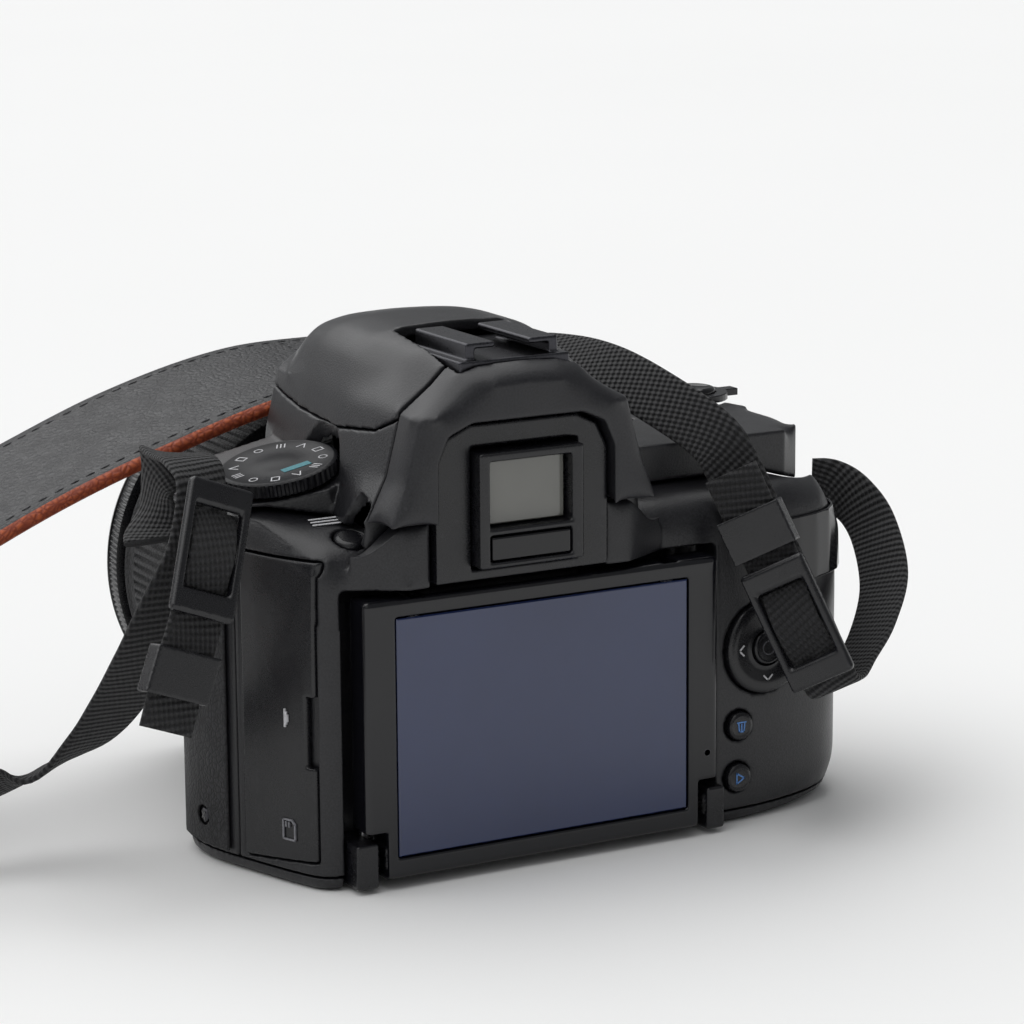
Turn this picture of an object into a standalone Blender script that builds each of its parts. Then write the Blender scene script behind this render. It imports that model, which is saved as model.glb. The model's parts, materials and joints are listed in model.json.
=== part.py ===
"""A compact digital reflex camera with a tilting screen, a short zoom lens and a neck strap.

Lengths are in millimetres, measured from the lens axis (x), the screen face (y) and the base (z):
x runs to the grip side, y out through the lens and z up. solid() turns them into metres about
the middle of the footprint.
"""
import math

import bmesh
import bpy
from mathutils import Matrix, Vector

MM = 0.001
FOOT = Vector((17.2, 50.8, 0.0))  # middle of the footprint

# Driving dimensions
GAP = 0.3  # clearance between neighbouring pieces
WALL = 2.2
SPLIT_Y = 24.6  # where the front and rear covers meet
BASE_Z = 2.4  # top of the base plate
LENS_Z = 38.8
MOUNT_Y = 56.0
SCREEN = {"x0": -30.5, "x1": 42.0, "z0": 1.9, "z1": 53.0, "depth": 6.8}
WINDOW = {"x0": -24.2, "x1": 35.3, "z0": 6.0, "z1": 49.4}
RECESS = {"x0": -33.0, "x1": 43.9, "z1": 54.4, "y": 10.9}
BRACKET_PIN = (4.0, 5.2)  # y, z of the lower screen hinge
PANEL_PIN = (2.3, 50.6)  # y, z of the upper screen hinge
DIAL_AXIS = Vector((-0.203, -0.084, 1.0)).normalized()
DIAL_TOP = Vector((-33.0, 28.7, 73.4))
DIAL_R = 11.0
PAD_CENTRE = (54.8, 33.4)  # x, z of the control pad
PAD_R = 8.8
FLASH_PIN = (6.8, 93.4)  # y, z of the flash hinge
MENU, MENU_SLOPE = Vector((-28.2, 10.0, 62.2)), Vector((0.0, -0.36, 1.0)).normalized()
RELEASE = (-37.5, 27.0)  # x, z of the lens release
SHUTTER = Vector((67.0, 50.0, 0.0))
GRIP_DIAL = Vector((57.5, 60.5, 58.0))

# Plan of the body at half height, from the rear left corner round the lens side to the grip
PLAN = [
    (-20, 4.0), (-32, 4.0), (-36.4, 5.2), (-38.6, 8.5), (-41.2, 15), (-43.9, 23), (-46.2, 31),
    (-46.9, 38), (-45.4, 43.8), (-41, 47.4), (-32, 48.2), (-12, 48.4), (10, 48.4), (28, 48.2),
    (36, 46.4), (42, 46.6), (48, 52), (55, 59.5), (63, 62.4), (71, 60.6), (77.6, 54), (80.4, 44),
    (80.8, 33), (80.2, 23), (77.4, 14.6), (71.5, 9.0), (63, 5.8), (52, 4.2), (36, 4.0), (8, 4.0),
]
PLAN_STEPS = 60
SPINE_X, SPINE_Y = (-26.0, 62.0), 28.0
# Hump sections: y, half widths at z 62, 80 and 90, and the top
HUMP = [
    (4.3, 29.0, 22.2, 15.0, 93.8),
    (12.0, 29.0, 23.0, 17.0, 95.4),
    (25.0, 28.0, 23.2, 18.6, 96.8),
    (40.0, 27.0, 22.8, 18.2, 97.0),
    (50.0, 25.6, 22.2, 17.4, 95.6),
    (56.0, 24.4, 21.4, 15.6, 92.8),
    (58.6, 22.6, 19.6, 11.0, 90.2),
]
FLASH_SEAM = [(4.0, 84.0), (11, 81.0), (25, 79.4), (42, 80.4), (60, 82.6)]  # y, z

# The strap: each station is a point and the direction of the webbing's width
WEB_W, WEB_T = 10.4, 1.2
BAND_W, BAND_T = 36.0, 3.0
SLIDER_SIZE = (12.6, 23.4, 2.0)
KEEPER_SIZE = (8.4, 3.6)
LEFT_ACROSS, LEFT_DOWN = (0.930, 0.068, -0.354), (-0.303, -0.289, -0.908)
RIGHT_ACROSS, RIGHT_DOWN = (0.626, -0.636, 0.454), (0.276, -0.361, -0.891)
LEFT_ROUTE = [
    ((-57.0, 30.0, 61.4), (0.8, -0.6, 0.05)), ((-55.4, 34.0, 62.6), (0.6, -0.8, 0)),
    ((-53.4, 36.8, 66.0), (0.15, -0.98, 0)), ((-52.6, 37.2, 70.6), (0.2, -0.98, -0.05)),
    ((-52.4, 34.0, 75.0), (0.65, -0.75, -0.1)), ((-53.2, 26.0, 77.0), (0.87, -0.49, 0)),
    ((-54.6, 17.4, 77.4), (0.9, -0.3, -0.1)), ((-55.3, 12.4, 74.6), LEFT_ACROSS),
    ((-56.4, 10.2, 69.8), LEFT_ACROSS), ((-58.8, 8.8, 63.2), LEFT_ACROSS),
    ((-61.6, 10.0, 57.4), (0.88, 0.12, -0.44)), ((-63.6, 13.0, 51.0), (0.87, 0.14, -0.45)),
    ((-64.8, 17.6, 44.2), (0.85, 0.2, -0.45)), ((-65.7, 26.0, 34.8), (0.85, 0.2, -0.45)),
    ((-68.6, 34.4, 25.8), (0.75, 0.5, -0.4)), ((-75.6, 42.0, 18.4), (0.45, 0.85, -0.1)),
    ((-84.0, 46.0, 16.5), (0.2, 0.6, -0.75)), ((-104.0, 45.0, 15.0), (0, 0.1, -1)),
    ((-128.0, 34.0, 17.0), (0, 0, -1)), ((-148.0, 20.0, 19.0), (0, 0, -1)),
    ((-165.0, 9.7, 19.5), (0, 0, -1)),
]
BAND_ROUTE = [
    ((10.0, 80.0, 80.0), (0, 1, 0.10)), ((-14.0, 77.5, 79.6), (0, 1, 0.10)),
    ((-40.0, 76.0, 73.4), (0.1, 1, 0.15)), ((-70.0, 75.0, 62.5), (0.25, 1, 0.2)),
    ((-106.0, 75.0, 47.0), (0.35, 0.9, 0.4)), ((-146.0, 80.0, 31.0), (0.35, 0.6, 0.9)),
    ((-190.0, 88.0, 21.5), (0.1, 0.15, 1)), ((-242.0, 92.0, 19.5), (0, 0, 1)),
    ((-288.0, 76.0, 19.5), (0, 0, 1)), ((-306.0, 42.0, 19.5), (0, 0, 1)),
    ((-292.0, 8.0, 19.5), (0, 0, 1)), ((-256.0, -10.0, 19.5), (0, 0, 1)),
    ((-208.0, -6.0, 19.5), (0, 0, 1)), ((-166.0, 9.0, 19.5), (0, 0, 1)),
]
RIGHT_ROUTE = [
    ((14.5, 79.6, 80.6), (0.3, 0.95, 0.05)), ((28.0, 72.0, 82.0), (0.72, 0.66, 0.2)),
    ((36.0, 56.0, 83.5), (0.82, 0.2, 0.5)), ((39.0, 36.0, 82.5), (0.62, 0, 0.78)),
    ((42.0, 19.0, 78.5), (0.55, -0.1, 0.83)), ((45.6, 8.0, 73.4), (0.62, -0.25, 0.74)),
    ((47.8, 4.0, 67.4), (0.68, -0.35, 0.65)), ((50.8, -0.4, 57.0), (0.68, -0.45, 0.57)),
    ((55.8, -7.1, 41.0), RIGHT_ACROSS), ((58.2, -9.8, 33.2), RIGHT_ACROSS),
    ((60.6, -9.8, 28.4), RIGHT_ACROSS), ((64.4, -7.2, 27.4), RIGHT_ACROSS),
    ((69.6, -3.0, 29.4), RIGHT_ACROSS), ((78.0, 3.0, 33.8), RIGHT_ACROSS),
    ((87.2, 12.5, 40.2), RIGHT_ACROSS), ((91.9, 23.0, 47.6), (0.55, -0.45, 0.7)),
    ((91.9, 29.6, 52.4), (0.35, -0.35, 0.87)), ((89.4, 34.2, 54.8), (0.3, 0.1, 0.95)),
    ((86.2, 36.4, 55.0), (0.1, 0.2, 0.97)),
]
LEFT_TAIL = [
    ((-58.1, 5.3, 63.6), LEFT_ACROSS), ((-61.3, 2.0, 53.9), LEFT_ACROSS),
    ((-65.5, 0.1, 45.0), LEFT_ACROSS), ((-69.0, -1.3, 35.8), LEFT_ACROSS),
]
RIGHT_TAIL = [
    ((53.3, -11.2, 40.0), RIGHT_ACROSS), ((49.5, -6.5, 52.1), RIGHT_ACROSS),
    ((47.7, -4.2, 57.7), RIGHT_ACROSS), ((44.4, 0.1, 68.4), RIGHT_ACROSS),
]
SLIDERS = [
    ("left", (-57.5, 3.6, 65.0), LEFT_ACROSS, LEFT_DOWN),
    ("right", (51.3, -12.0, 41.8), RIGHT_ACROSS, RIGHT_DOWN),
]
KEEPERS = [
    ("left", (-65.5, 0.1, 45.0), LEFT_ACROSS, (-0.40, -0.17, -0.90)),
    ("right", (47.7, -4.2, 57.7), RIGHT_ACROSS, RIGHT_DOWN),
]

X, Y, Z = Vector((1, 0, 0)), Vector((0, 1, 0)), Vector((0, 0, 1))

# Surface slots: colour, metallic, roughness
SLOTS = {
    "body_plastic": ((0.018, 0.018, 0.022), 0.0, 0.55),
    "satin_plastic": ((0.012, 0.012, 0.015), 0.0, 0.35),
    "gloss_plastic": ((0.006, 0.006, 0.009), 0.0, 0.15),
    "grip_rubber": ((0.014, 0.014, 0.016), 0.0, 0.8),
    "glass": ((0.05, 0.06, 0.10), 0.0, 0.05),
    "steel": ((0.6, 0.6, 0.6), 1.0, 0.3),
    "strap_fabric": ((0.01, 0.01, 0.012), 0.0, 0.9),
    "strap_leather": ((0.03, 0.03, 0.032), 0.0, 0.6),
}


def clear_scene():
    for obj in list(bpy.data.objects):
        bpy.data.objects.remove(obj, do_unlink=True)


def make_collection(name):
    collection = bpy.data.collections.new(name)
    bpy.context.scene.collection.children.link(collection)
    return collection


def make_materials():
    for name, (colour, metallic, roughness) in SLOTS.items():
        mat = bpy.data.materials.new(name)
        mat.use_nodes = True
        shader = mat.node_tree.nodes["Principled BSDF"]
        shader.inputs["Base Color"].default_value = (*colour, 1.0)
        shader.inputs["Metallic"].default_value = metallic
        shader.inputs["Roughness"].default_value = roughness


def solid(name, bm, slot=None):
    """Turn a bmesh in millimetres into an object; without a slot it is a hidden cutter."""
    bmesh.ops.remove_doubles(bm, verts=bm.verts, dist=0.001)
    bmesh.ops.recalc_face_normals(bm, faces=bm.faces)
    for vert in bm.verts:
        vert.co = (vert.co - FOOT) * MM
    mesh = bpy.data.meshes.new(name)
    bm.to_mesh(mesh)
    bm.free()
    obj = bpy.data.objects.new(name, mesh)
    if slot:
        CAMERA.objects.link(obj)
        mesh.materials.append(bpy.data.materials[slot])
    else:
        CUTTERS.objects.link(obj)
        obj.hide_render = True
        obj.display_type = "WIRE"
    return obj


def boolean(obj, operation, *tools):
    for tool in tools:
        mod = obj.modifiers.new(operation.title(), "BOOLEAN")
        mod.operation = operation
        mod.solver = "EXACT"
        mod.object = tool
    return obj


def bevel(obj, width, segments=2):
    mod = obj.modifiers.new("Bevel", "BEVEL")
    mod.width = width * MM
    mod.segments = segments
    mod.limit_method = "ANGLE"
    mod.angle_limit = math.radians(40)
    return obj


def turn_on(obj, x, y, z):
    """Move an object's origin to its joint axis and leave its shape where it is."""
    anchor = (Vector((x, y, z)) - FOOT) * MM
    obj.data.transform(Matrix.Translation(-anchor))
    obj.location = anchor
    return obj


def box(name, slot, x0, x1, y0, y1, z0, z1, edge=0.0):
    bm = bmesh.new()
    bmesh.ops.create_cube(bm, size=1.0)
    for vert in bm.verts:
        vert.co.x = x1 if vert.co.x > 0 else x0
        vert.co.y = y1 if vert.co.y > 0 else y0
        vert.co.z = z1 if vert.co.z > 0 else z0
    obj = solid(name, bm, slot)
    return bevel(obj, edge) if edge else obj


def extrusion(name, slot, outline, centre, across, up, depth):
    """A flat outline in the plane of two directions, pushed along their cross product."""
    bm = bmesh.new()
    centre, across, up = Vector(centre), Vector(across).normalized(), Vector(up).normalized()
    push = across.cross(up) * depth
    near = [bm.verts.new(centre + across * a + up * b) for a, b in outline]
    far = [bm.verts.new(vert.co + push) for vert in near]
    bm.faces.new(near)
    bm.faces.new(list(reversed(far)))
    for i in range(len(near)):
        j = (i + 1) % len(near)
        bm.faces.new((near[i], near[j], far[j], far[i]))
    return solid(name, bm, slot)


def turned(name, slot, profile, centre, axis, sides=32):
    """A turned piece: (radius, height) points up the outside and back down the bore, if any."""
    bm = bmesh.new()
    axis = Vector(axis).normalized()
    turn = axis.to_track_quat("Z", "Y").to_matrix()
    centre = Vector(centre)
    rings = []
    for radius, height in profile:
        if radius == 0:
            rings.append([bm.verts.new(centre + axis * height)])
            continue
        ring = []
        for i in range(sides):
            angle = 2 * math.pi * i / sides
            spot = Vector((radius * math.cos(angle), radius * math.sin(angle), height))
            ring.append(bm.verts.new(centre + turn @ spot))
        rings.append(ring)
    closed = profile[0][0] > 0 and profile[-1][0] > 0
    pairs = list(zip(rings, rings[1:]))
    if closed:
        pairs.append((rings[-1], rings[0]))
    for low, high in pairs:
        for i in range(sides):
            j = (i + 1) % sides
            corners = [low[i % len(low)], low[j % len(low)], high[j % len(high)], high[i % len(high)]]
            bm.faces.new(list(dict.fromkeys(corners)))
    return solid(name, bm, slot)


def disc(name, slot, radius, depth, centre, axis, sides=24, edge=0.0):
    return turned(name, slot, [(0, 0), (radius, 0), (radius, depth - edge),
                               (radius - edge, depth), (0, depth)], centre, axis, sides)


def ring(name, slot, outer, inner, depth, centre, axis, sides=40):
    profile = [(outer, 0), (outer, depth), (inner, depth), (inner, 0)]
    return turned(name, slot, profile, centre, axis, sides)


def loft(name, slot, loops, arched=False):
    """Skin a row of closed loops of equal length and cap both ends, rung by rung if arched."""
    bm = bmesh.new()
    rows = [[bm.verts.new(spot) for spot in loop] for loop in loops]
    for low, high in zip(rows, rows[1:]):
        for i in range(len(low)):
            j = (i + 1) % len(low)
            bm.faces.new((low[i], low[j], high[j], high[i]))
    for row in (rows[0][::-1], rows[-1]):
        if arched:
            last = len(row) - 1
            for i in range(last // 2 - 1):
                bm.faces.new((row[i], row[i + 1], row[last - i - 1], row[last - i]))
            bm.faces.new(row[last // 2 - 1:last // 2 + 2])
        else:
            bm.faces.new(row)
    bmesh.ops.triangulate(bm, faces=bm.faces, quad_method="BEAUTY", ngon_method="BEAUTY")
    return solid(name, bm, slot)


def smooth_loop(points, count):
    """Points at even steps of a closed Catmull-Rom curve."""
    spots = []
    total = len(points)
    for k in range(count):
        place = k * total / count
        i, t = int(place), place % 1.0
        a, b, c, d = (Vector(points[(i + s) % total]) for s in (-1, 0, 1, 2))
        spots.append(0.5 * (2 * b + (c - a) * t + (2 * a - 5 * b + 4 * c - d) * t * t
                            + (3 * b - a - 3 * c + d) * t ** 3))
    return spots


def smooth_path(points, per_span):
    """Points of an open Catmull-Rom curve through the given ones."""
    ends = [points[0] * 2 - points[1], *points, points[-1] * 2 - points[-2]]
    spots = []
    for a, b, c, d in zip(ends, ends[1:], ends[2:], ends[3:]):
        for k in range(per_span):
            t = k / per_span
            spots.append(0.5 * (2 * b + (c - a) * t + (2 * a - 5 * b + 4 * c - d) * t * t
                                + (3 * b - a - 3 * c + d) * t ** 3))
    return [*spots, points[-1]]


def inwards(spot):
    """The plan direction from a point on the outline to the body's middle line."""
    along = min(max(spot.x, SPINE_X[0]), SPINE_X[1])
    return (Vector((along, SPINE_Y)) - spot).normalized()


def ramp(value, start, end):
    return min(max((value - start) / (end - start), 0.0), 1.0)


def deck_height(x, y):
    """The shoulders: low along the rear edge, level further forward, falling at the grip's side."""
    left = 60.2 + 6.2 * ramp(y, 4, 20)
    right = 61.5 + 5.0 * ramp(y, 4, 18) - 4.0 * ramp(x, 62, 74) - 9.0 * ramp(x, 73, 80)
    right -= 3.0 * ramp(y, 48, 62)
    return left + (right - left) * ramp(x, -20, 30)


def body_loops(wall=0.0):
    """The body without its hump. A positive wall gives the hollow inside, a negative one a skin."""
    plan = smooth_loop(PLAN, PLAN_STEPS)
    rounder = [1.0 + 1.6 * ramp(spot.x, 50, 74) for spot in plan]
    levels = [
        (0.0, 1.9), (0.7, 0.7), (2.6, 0.0), (22.0, 0.0),
        (-13.0, 0.0), (-4.0, 0.25), (-1.2, 1.3), (-0.15, 3.2), (0.0, 5.0),
    ]
    loops = []
    for level, inset in levels:
        from_top = level < 0 or inset == 5.0
        loop = []
        for i, spot in enumerate(plan):
            moved = spot + inwards(spot) * (wall + inset * (1.0 if from_top else rounder[i]))
            if from_top:
                height = deck_height(moved.x, moved.y) + level - wall
            else:
                height = wall + level * (rounder[i] if level < 3 else 1.0)
            loop.append(Vector((moved.x, moved.y, height)))
        loops.append(loop)
    return loops


def hump_loops(wall=0.0, sections=HUMP):
    """The prism housing as arched sections, closed low down inside the body."""
    loops = []
    for y, low, middle, high, top in sections:
        low, middle, high, top = low - wall, middle - wall, high - wall, top - wall
        half = [
            Vector((low, y, 58.0)), Vector((low - 1.0, y, 66.0)), Vector((middle + 1.6, y, 74.0)),
            Vector((middle, y, 80.0)), Vector((middle - 1.3, y, min(85.0, top - 5.2))),
            Vector((high, y, top - 4.4)), Vector((high - 3.0, y, top - 1.6)),
            Vector((high * 0.5, y, top - 0.3)),
        ]
        mirrored = [Vector((-spot.x, spot.y, spot.z)) for spot in reversed(half)]
        loops.append([*half, Vector((0, y, top)), *mirrored])
    return loops


def make_cutters():
    """Shapes shared by several casings."""
    far = 200
    tools = {
        "hollow": loft("cut_hollow", None, body_loops(WALL)),
        "front_half": box("cut_front", None, -far, far, SPLIT_Y + GAP / 2, far, -far, far),
        "rear_half": box("cut_rear", None, -far, far, -far, SPLIT_Y - GAP / 2, -far, far),
        "above_base": box("cut_above_base", None, -far, far, -far, far, BASE_Z + GAP, far),
        "prism_well": box("cut_prism_well", None, -23.5, 23.5, 13, 46, 50, 75),
        "skin_under": loft("cut_skin_under", None, body_loops(-GAP)),
        "top_under": loft("cut_top_under", None, body_loops(-0.75)),
        "menu": disc("cut_menu", None, 2.9 + GAP, 16, MENU - MENU_SLOPE * 8, MENU_SLOPE, 20),
        "hump_hollow": loft("cut_hump_hollow", None, hump_loops(2.0, [
            (y + (2.0 if i == 0 else -1.6 if i == 6 else 0), a, b, c, d)
            for i, (y, a, b, c, d) in enumerate(HUMP)]), True),
    }
    above = [(5.0, 83.9), *[(y, z + GAP / 2) for y, z in FLASH_SEAM[1:]], (61, 110), (5.0, 110)]
    below = [(4.6, 58.3), (4.6, 83.6), *[(y, z - GAP / 2) for y, z in FLASH_SEAM[1:]], (61, 58.3)]
    tools["flash_zone"] = extrusion("cut_flash_zone", None, above, (-30, 0, 0), Y, Z, 60)
    tools["hump_zone"] = extrusion("cut_hump_zone", None, below, (-30, 0, 0), Y, Z, 60)
    return tools


def door_outline(grow=0.0):
    """The side door's edge, y and z, with the finger notch left for its own cutter."""
    return [(6.4 - grow, 5.4 - grow), (22.6 + grow, 3.8 - grow), (22.6 + grow, 59.6 + grow),
            (6.4 - grow, 59.6 + grow)]


def make_casing(cut):
    """The covers, the base plate and the rubber skins."""
    recess = box("cut_recess", None, RECESS["x0"], RECESS["x1"], -9, RECESS["y"], -9, RECESS["z1"])
    tub = box("cut_tub", None, RECESS["x0"] - WALL, RECESS["x1"] + WALL, -9, RECESS["y"] + 1.6,
              -9, RECESS["z1"] + WALL)
    boolean(cut["hollow"], "DIFFERENCE", tub)
    door_hole = extrusion("cut_door", None, door_outline(GAP), (-60, 0, 0), Y, Z, 25.3)
    door_back = loft("cut_door_back", None, body_loops(1.7))
    boolean(door_hole, "DIFFERENCE", door_back)

    rear = loft("rear_cover", "body_plastic", body_loops())
    sides = []
    for side, inner, outer, edge in (("left", -18.0, -31.5, -26.5), ("right", 17.6, 32.0, 27.0)):
        for y, top in ((8.0, 57.8), (4.2, 66.0)):
            foot = [(inner, -1.2), (inner + (edge - inner) * 0.5, -1.2), (edge, 1.2), (outer, 4.1), (outer, y),
                    (inner, y)]
            sides.append(extrusion(f"cut_block_{side}_{y:.0f}", None, foot, (0, 0, RECESS["z1"]), X, Y,
                                   top - RECESS["z1"]))
    boolean(rear, "INTERSECT", cut["rear_half"], cut["above_base"])
    boolean(rear, "UNION", *sides)
    boolean(rear, "DIFFERENCE", cut["hollow"], recess, cut["prism_well"], door_hole)
    boolean(rear, "DIFFERENCE", box("cut_eye_well", None, -17.8, 17.4, -9, 9, RECESS["z1"], 75))
    pad_x, pad_z = PAD_CENTRE
    boolean(rear, "DIFFERENCE", disc("cut_pad", None, PAD_R + GAP, 12, (pad_x, -2, pad_z), Y, 32))
    for x, z in ((49.0, 18.9), (48.7, 8.9)):
        boolean(rear, "DIFFERENCE", disc(f"cut_key_{z:.0f}", None, 2.7 + GAP, 12, (x, -2, z), Y, 20))
    boolean(rear, "DIFFERENCE", cut["menu"])

    front = loft("front_cover", "body_plastic", body_loops())
    collar = disc("cut_collar", None, 33.6, 12.0, (0, 43.0, LENS_Z), Y, 48, 0.6)
    boolean(front, "INTERSECT", cut["front_half"], cut["above_base"])
    boolean(front, "UNION", collar)
    boolean(front, "DIFFERENCE", cut["hollow"], cut["prism_well"])
    boolean(front, "DIFFERENCE", disc("cut_throat", None, 24.6, 30, (0, 30, LENS_Z), Y, 46))
    boolean(front, "DIFFERENCE", disc("cut_shutter", None, 5.2, 12, (SHUTTER.x, SHUTTER.y, 52), Z, 26))
    boolean(front, "DIFFERENCE", disc("cut_grip_dial", None, 5.6, 10, GRIP_DIAL - X * 5, X, 28))
    boolean(front, "DIFFERENCE", disc("cut_release", None, 4.6, 12, (RELEASE[0], 42, RELEASE[1]), Y, 24))

    base = loft("base_plate", "body_plastic", body_loops())
    boolean(base, "INTERSECT", box("cut_base", None, -90, 90, -9, 90, -1, BASE_Z))
    boolean(base, "DIFFERENCE", box("cut_base_recess", None, RECESS["x0"], RECESS["x1"], -9,
                                    RECESS["y"], -5, 5))
    boolean(base, "DIFFERENCE", box("cut_battery_door", None, 47.8, 73.3, 16.7, 46.8, -5, 5))
    boolean(base, "DIFFERENCE", disc("cut_socket", None, 8.3, 9, (0, 30, -4), Z, 32))

    skin = loft("grip_skin", "grip_rubber", body_loops(-0.95))
    boolean(skin, "DIFFERENCE", cut["skin_under"])
    boolean(skin, "INTERSECT", box("cut_grip_zone", None, 38.0, 90, 27, 90, 4.0, 49.0))
    side_skin = loft("side_skin", "grip_rubber", body_loops(-0.85))
    boolean(side_skin, "DIFFERENCE", cut["skin_under"])
    boolean(side_skin, "INTERSECT", box("cut_side_zone", None, -60, -42.4, 26.2, 60, 3.4, 62.5))
    boolean(side_skin, "DIFFERENCE", disc("cut_side_screw", None, 1.9, 9, (-42, 33.4, 8.6), -X, 16))
    thumb = loft("thumb_pad", "satin_plastic", body_loops(-0.75))
    boolean(thumb, "DIFFERENCE", cut["skin_under"])
    boolean(thumb, "INTERSECT", box("cut_thumb_zone", None, 53.0, 90, -9, 19.0, 44.5, 57.0))

    door = loft("card_door", "satin_plastic", body_loops(-0.1))
    boolean(door, "DIFFERENCE", loft("cut_door_inner", None, body_loops(1.3)))
    boolean(door, "INTERSECT", extrusion("cut_door_edge", None, door_outline(), (-60, 0, 0), Y, Z, 25))
    boolean(door, "DIFFERENCE", box("cut_door_notch", None, -60, -30, 0, 8.2, 22.5, 35.5))
    turn_on(door, -43.2, 21.9, 31.0)


def make_top(cut):
    """The top cover with its two shoulders, the pop-up flash, the eyepiece hood and the shoe."""
    top = loft("top_cover", "body_plastic", hump_loops(), True)
    boolean(top, "INTERSECT", cut["hump_zone"])
    pod_base = DIAL_TOP - DIAL_AXIS * 3.4
    across = Y.cross(DIAL_AXIS).normalized()
    up = DIAL_AXIS.cross(across)
    pod_points = [(-8.6, -6.2), (-5.8, -10.6), (-1.0, -11.8), (4.0, -9.4), (8.0, -5.6), (16.0, -5.6),
                  (22.0, -5.0), (22.0, 11.5), (4.0, 13.4), (-7.0, 12.2), (-11.6, 4.0)]
    pod = extrusion("cut_pod", None, pod_points, pod_base, up, across, 9.0)
    deck_points = [(22, 15.0), (66, 15.4), (71.0, 19.0), (73.0, 27), (73.0, 40), (71, 49), (60, 55),
                   (48, 50), (38, 47.6), (22, 47.6)]
    deck = extrusion("cut_deck", None, deck_points, (0, 0, 60), X, Y, 11.6)
    boolean(top, "UNION", pod, deck)
    boolean(top, "DIFFERENCE", cut["top_under"], cut["hump_hollow"], cut["menu"])
    boolean(top, "DIFFERENCE", box("cut_top_rear", None, -60, 90, -9, 4.6, 50, 99))
    boolean(top, "DIFFERENCE", disc("cut_collar_room", None, 33.9, 18, (0, 42.7, LENS_Z), Y, 50))
    boolean(top, "DIFFERENCE", disc("cut_shutter_top", None, 6.2, 20, (SHUTTER.x, SHUTTER.y, 60), Z, 28))
    boolean(top, "DIFFERENCE", disc("cut_drive", None, 3.1, 9, (56, 30, 68.4), Z, 20))
    boolean(top, "DIFFERENCE", box("cut_live", None, 36.7, 47.3, 38.7, 43.3, 69.4, 80))
    boolean(top, "DIFFERENCE", disc("cut_dial", None, DIAL_R + 0.5, 9, DIAL_TOP - DIAL_AXIS * 3.0,
                                    DIAL_AXIS, 40))

    flash = loft("flash_cover", "body_plastic", hump_loops(), True)
    boolean(flash, "INTERSECT", cut["flash_zone"])
    boolean(flash, "DIFFERENCE", cut["hump_hollow"])
    boolean(flash, "DIFFERENCE", box("cut_shoe_notch", None, -11.3, 11.3, 0, 24.8, 86, 110))
    turn_on(flash, 0, *FLASH_PIN)

    hood_sections = [(-4.6, 25.0, 19.6, 12.6, 90.2), (-3.4, 27.6, 21.8, 14.6, 91.8),
                     (-1.0, 28.8, 22.8, 15.4, 93.0), (4.2, 29.0, 22.3, 15.1, 93.9)]
    hood = loft("eyepiece_hood", "grip_rubber", hump_loops(0, hood_sections), True)
    boolean(hood, "INTERSECT", box("cut_hood_low", None, -60, 60, -20, 60, 66.3, 120))
    arch = [(-17.8, 50), (17.4, 50), (17.4, 77), (15.4, 81.6), (11, 83.6), (-11, 83.6), (-15.8, 81.6),
            (-17.8, 77)]
    boolean(hood, "DIFFERENCE", extrusion("cut_arch", None, arch, (0, 9, 0), X, Z, 20))
    boolean(hood, "DIFFERENCE", box("cut_shoe_bed", None, -11.3, 11.3, 0.2, 30, 90.4, 110))

    shoe = box("hot_shoe", "satin_plastic", -11, 11, 0.5, 24.5, 90.7, 93.6)
    rail_side = [(9.2, 93.0), (9.2, 96.6), (3.4, 96.6), (3.4, 95.5), (7.4, 95.5), (7.4, 93.0)]
    for side in (1, -1):
        outline = [(side * x, z) for x, z in rail_side]
        boolean(shoe, "UNION", extrusion(f"cut_rail_{side}", None, outline, (0, 21.0, 0), X, Z, 19.5))
    bevel(shoe, 0.25, 1)
    shoe_foot = box("cut_shoe_foot", None, -9, 9, 6, 20, 89.4, 92)
    boolean(shoe, "UNION", shoe_foot)


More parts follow.
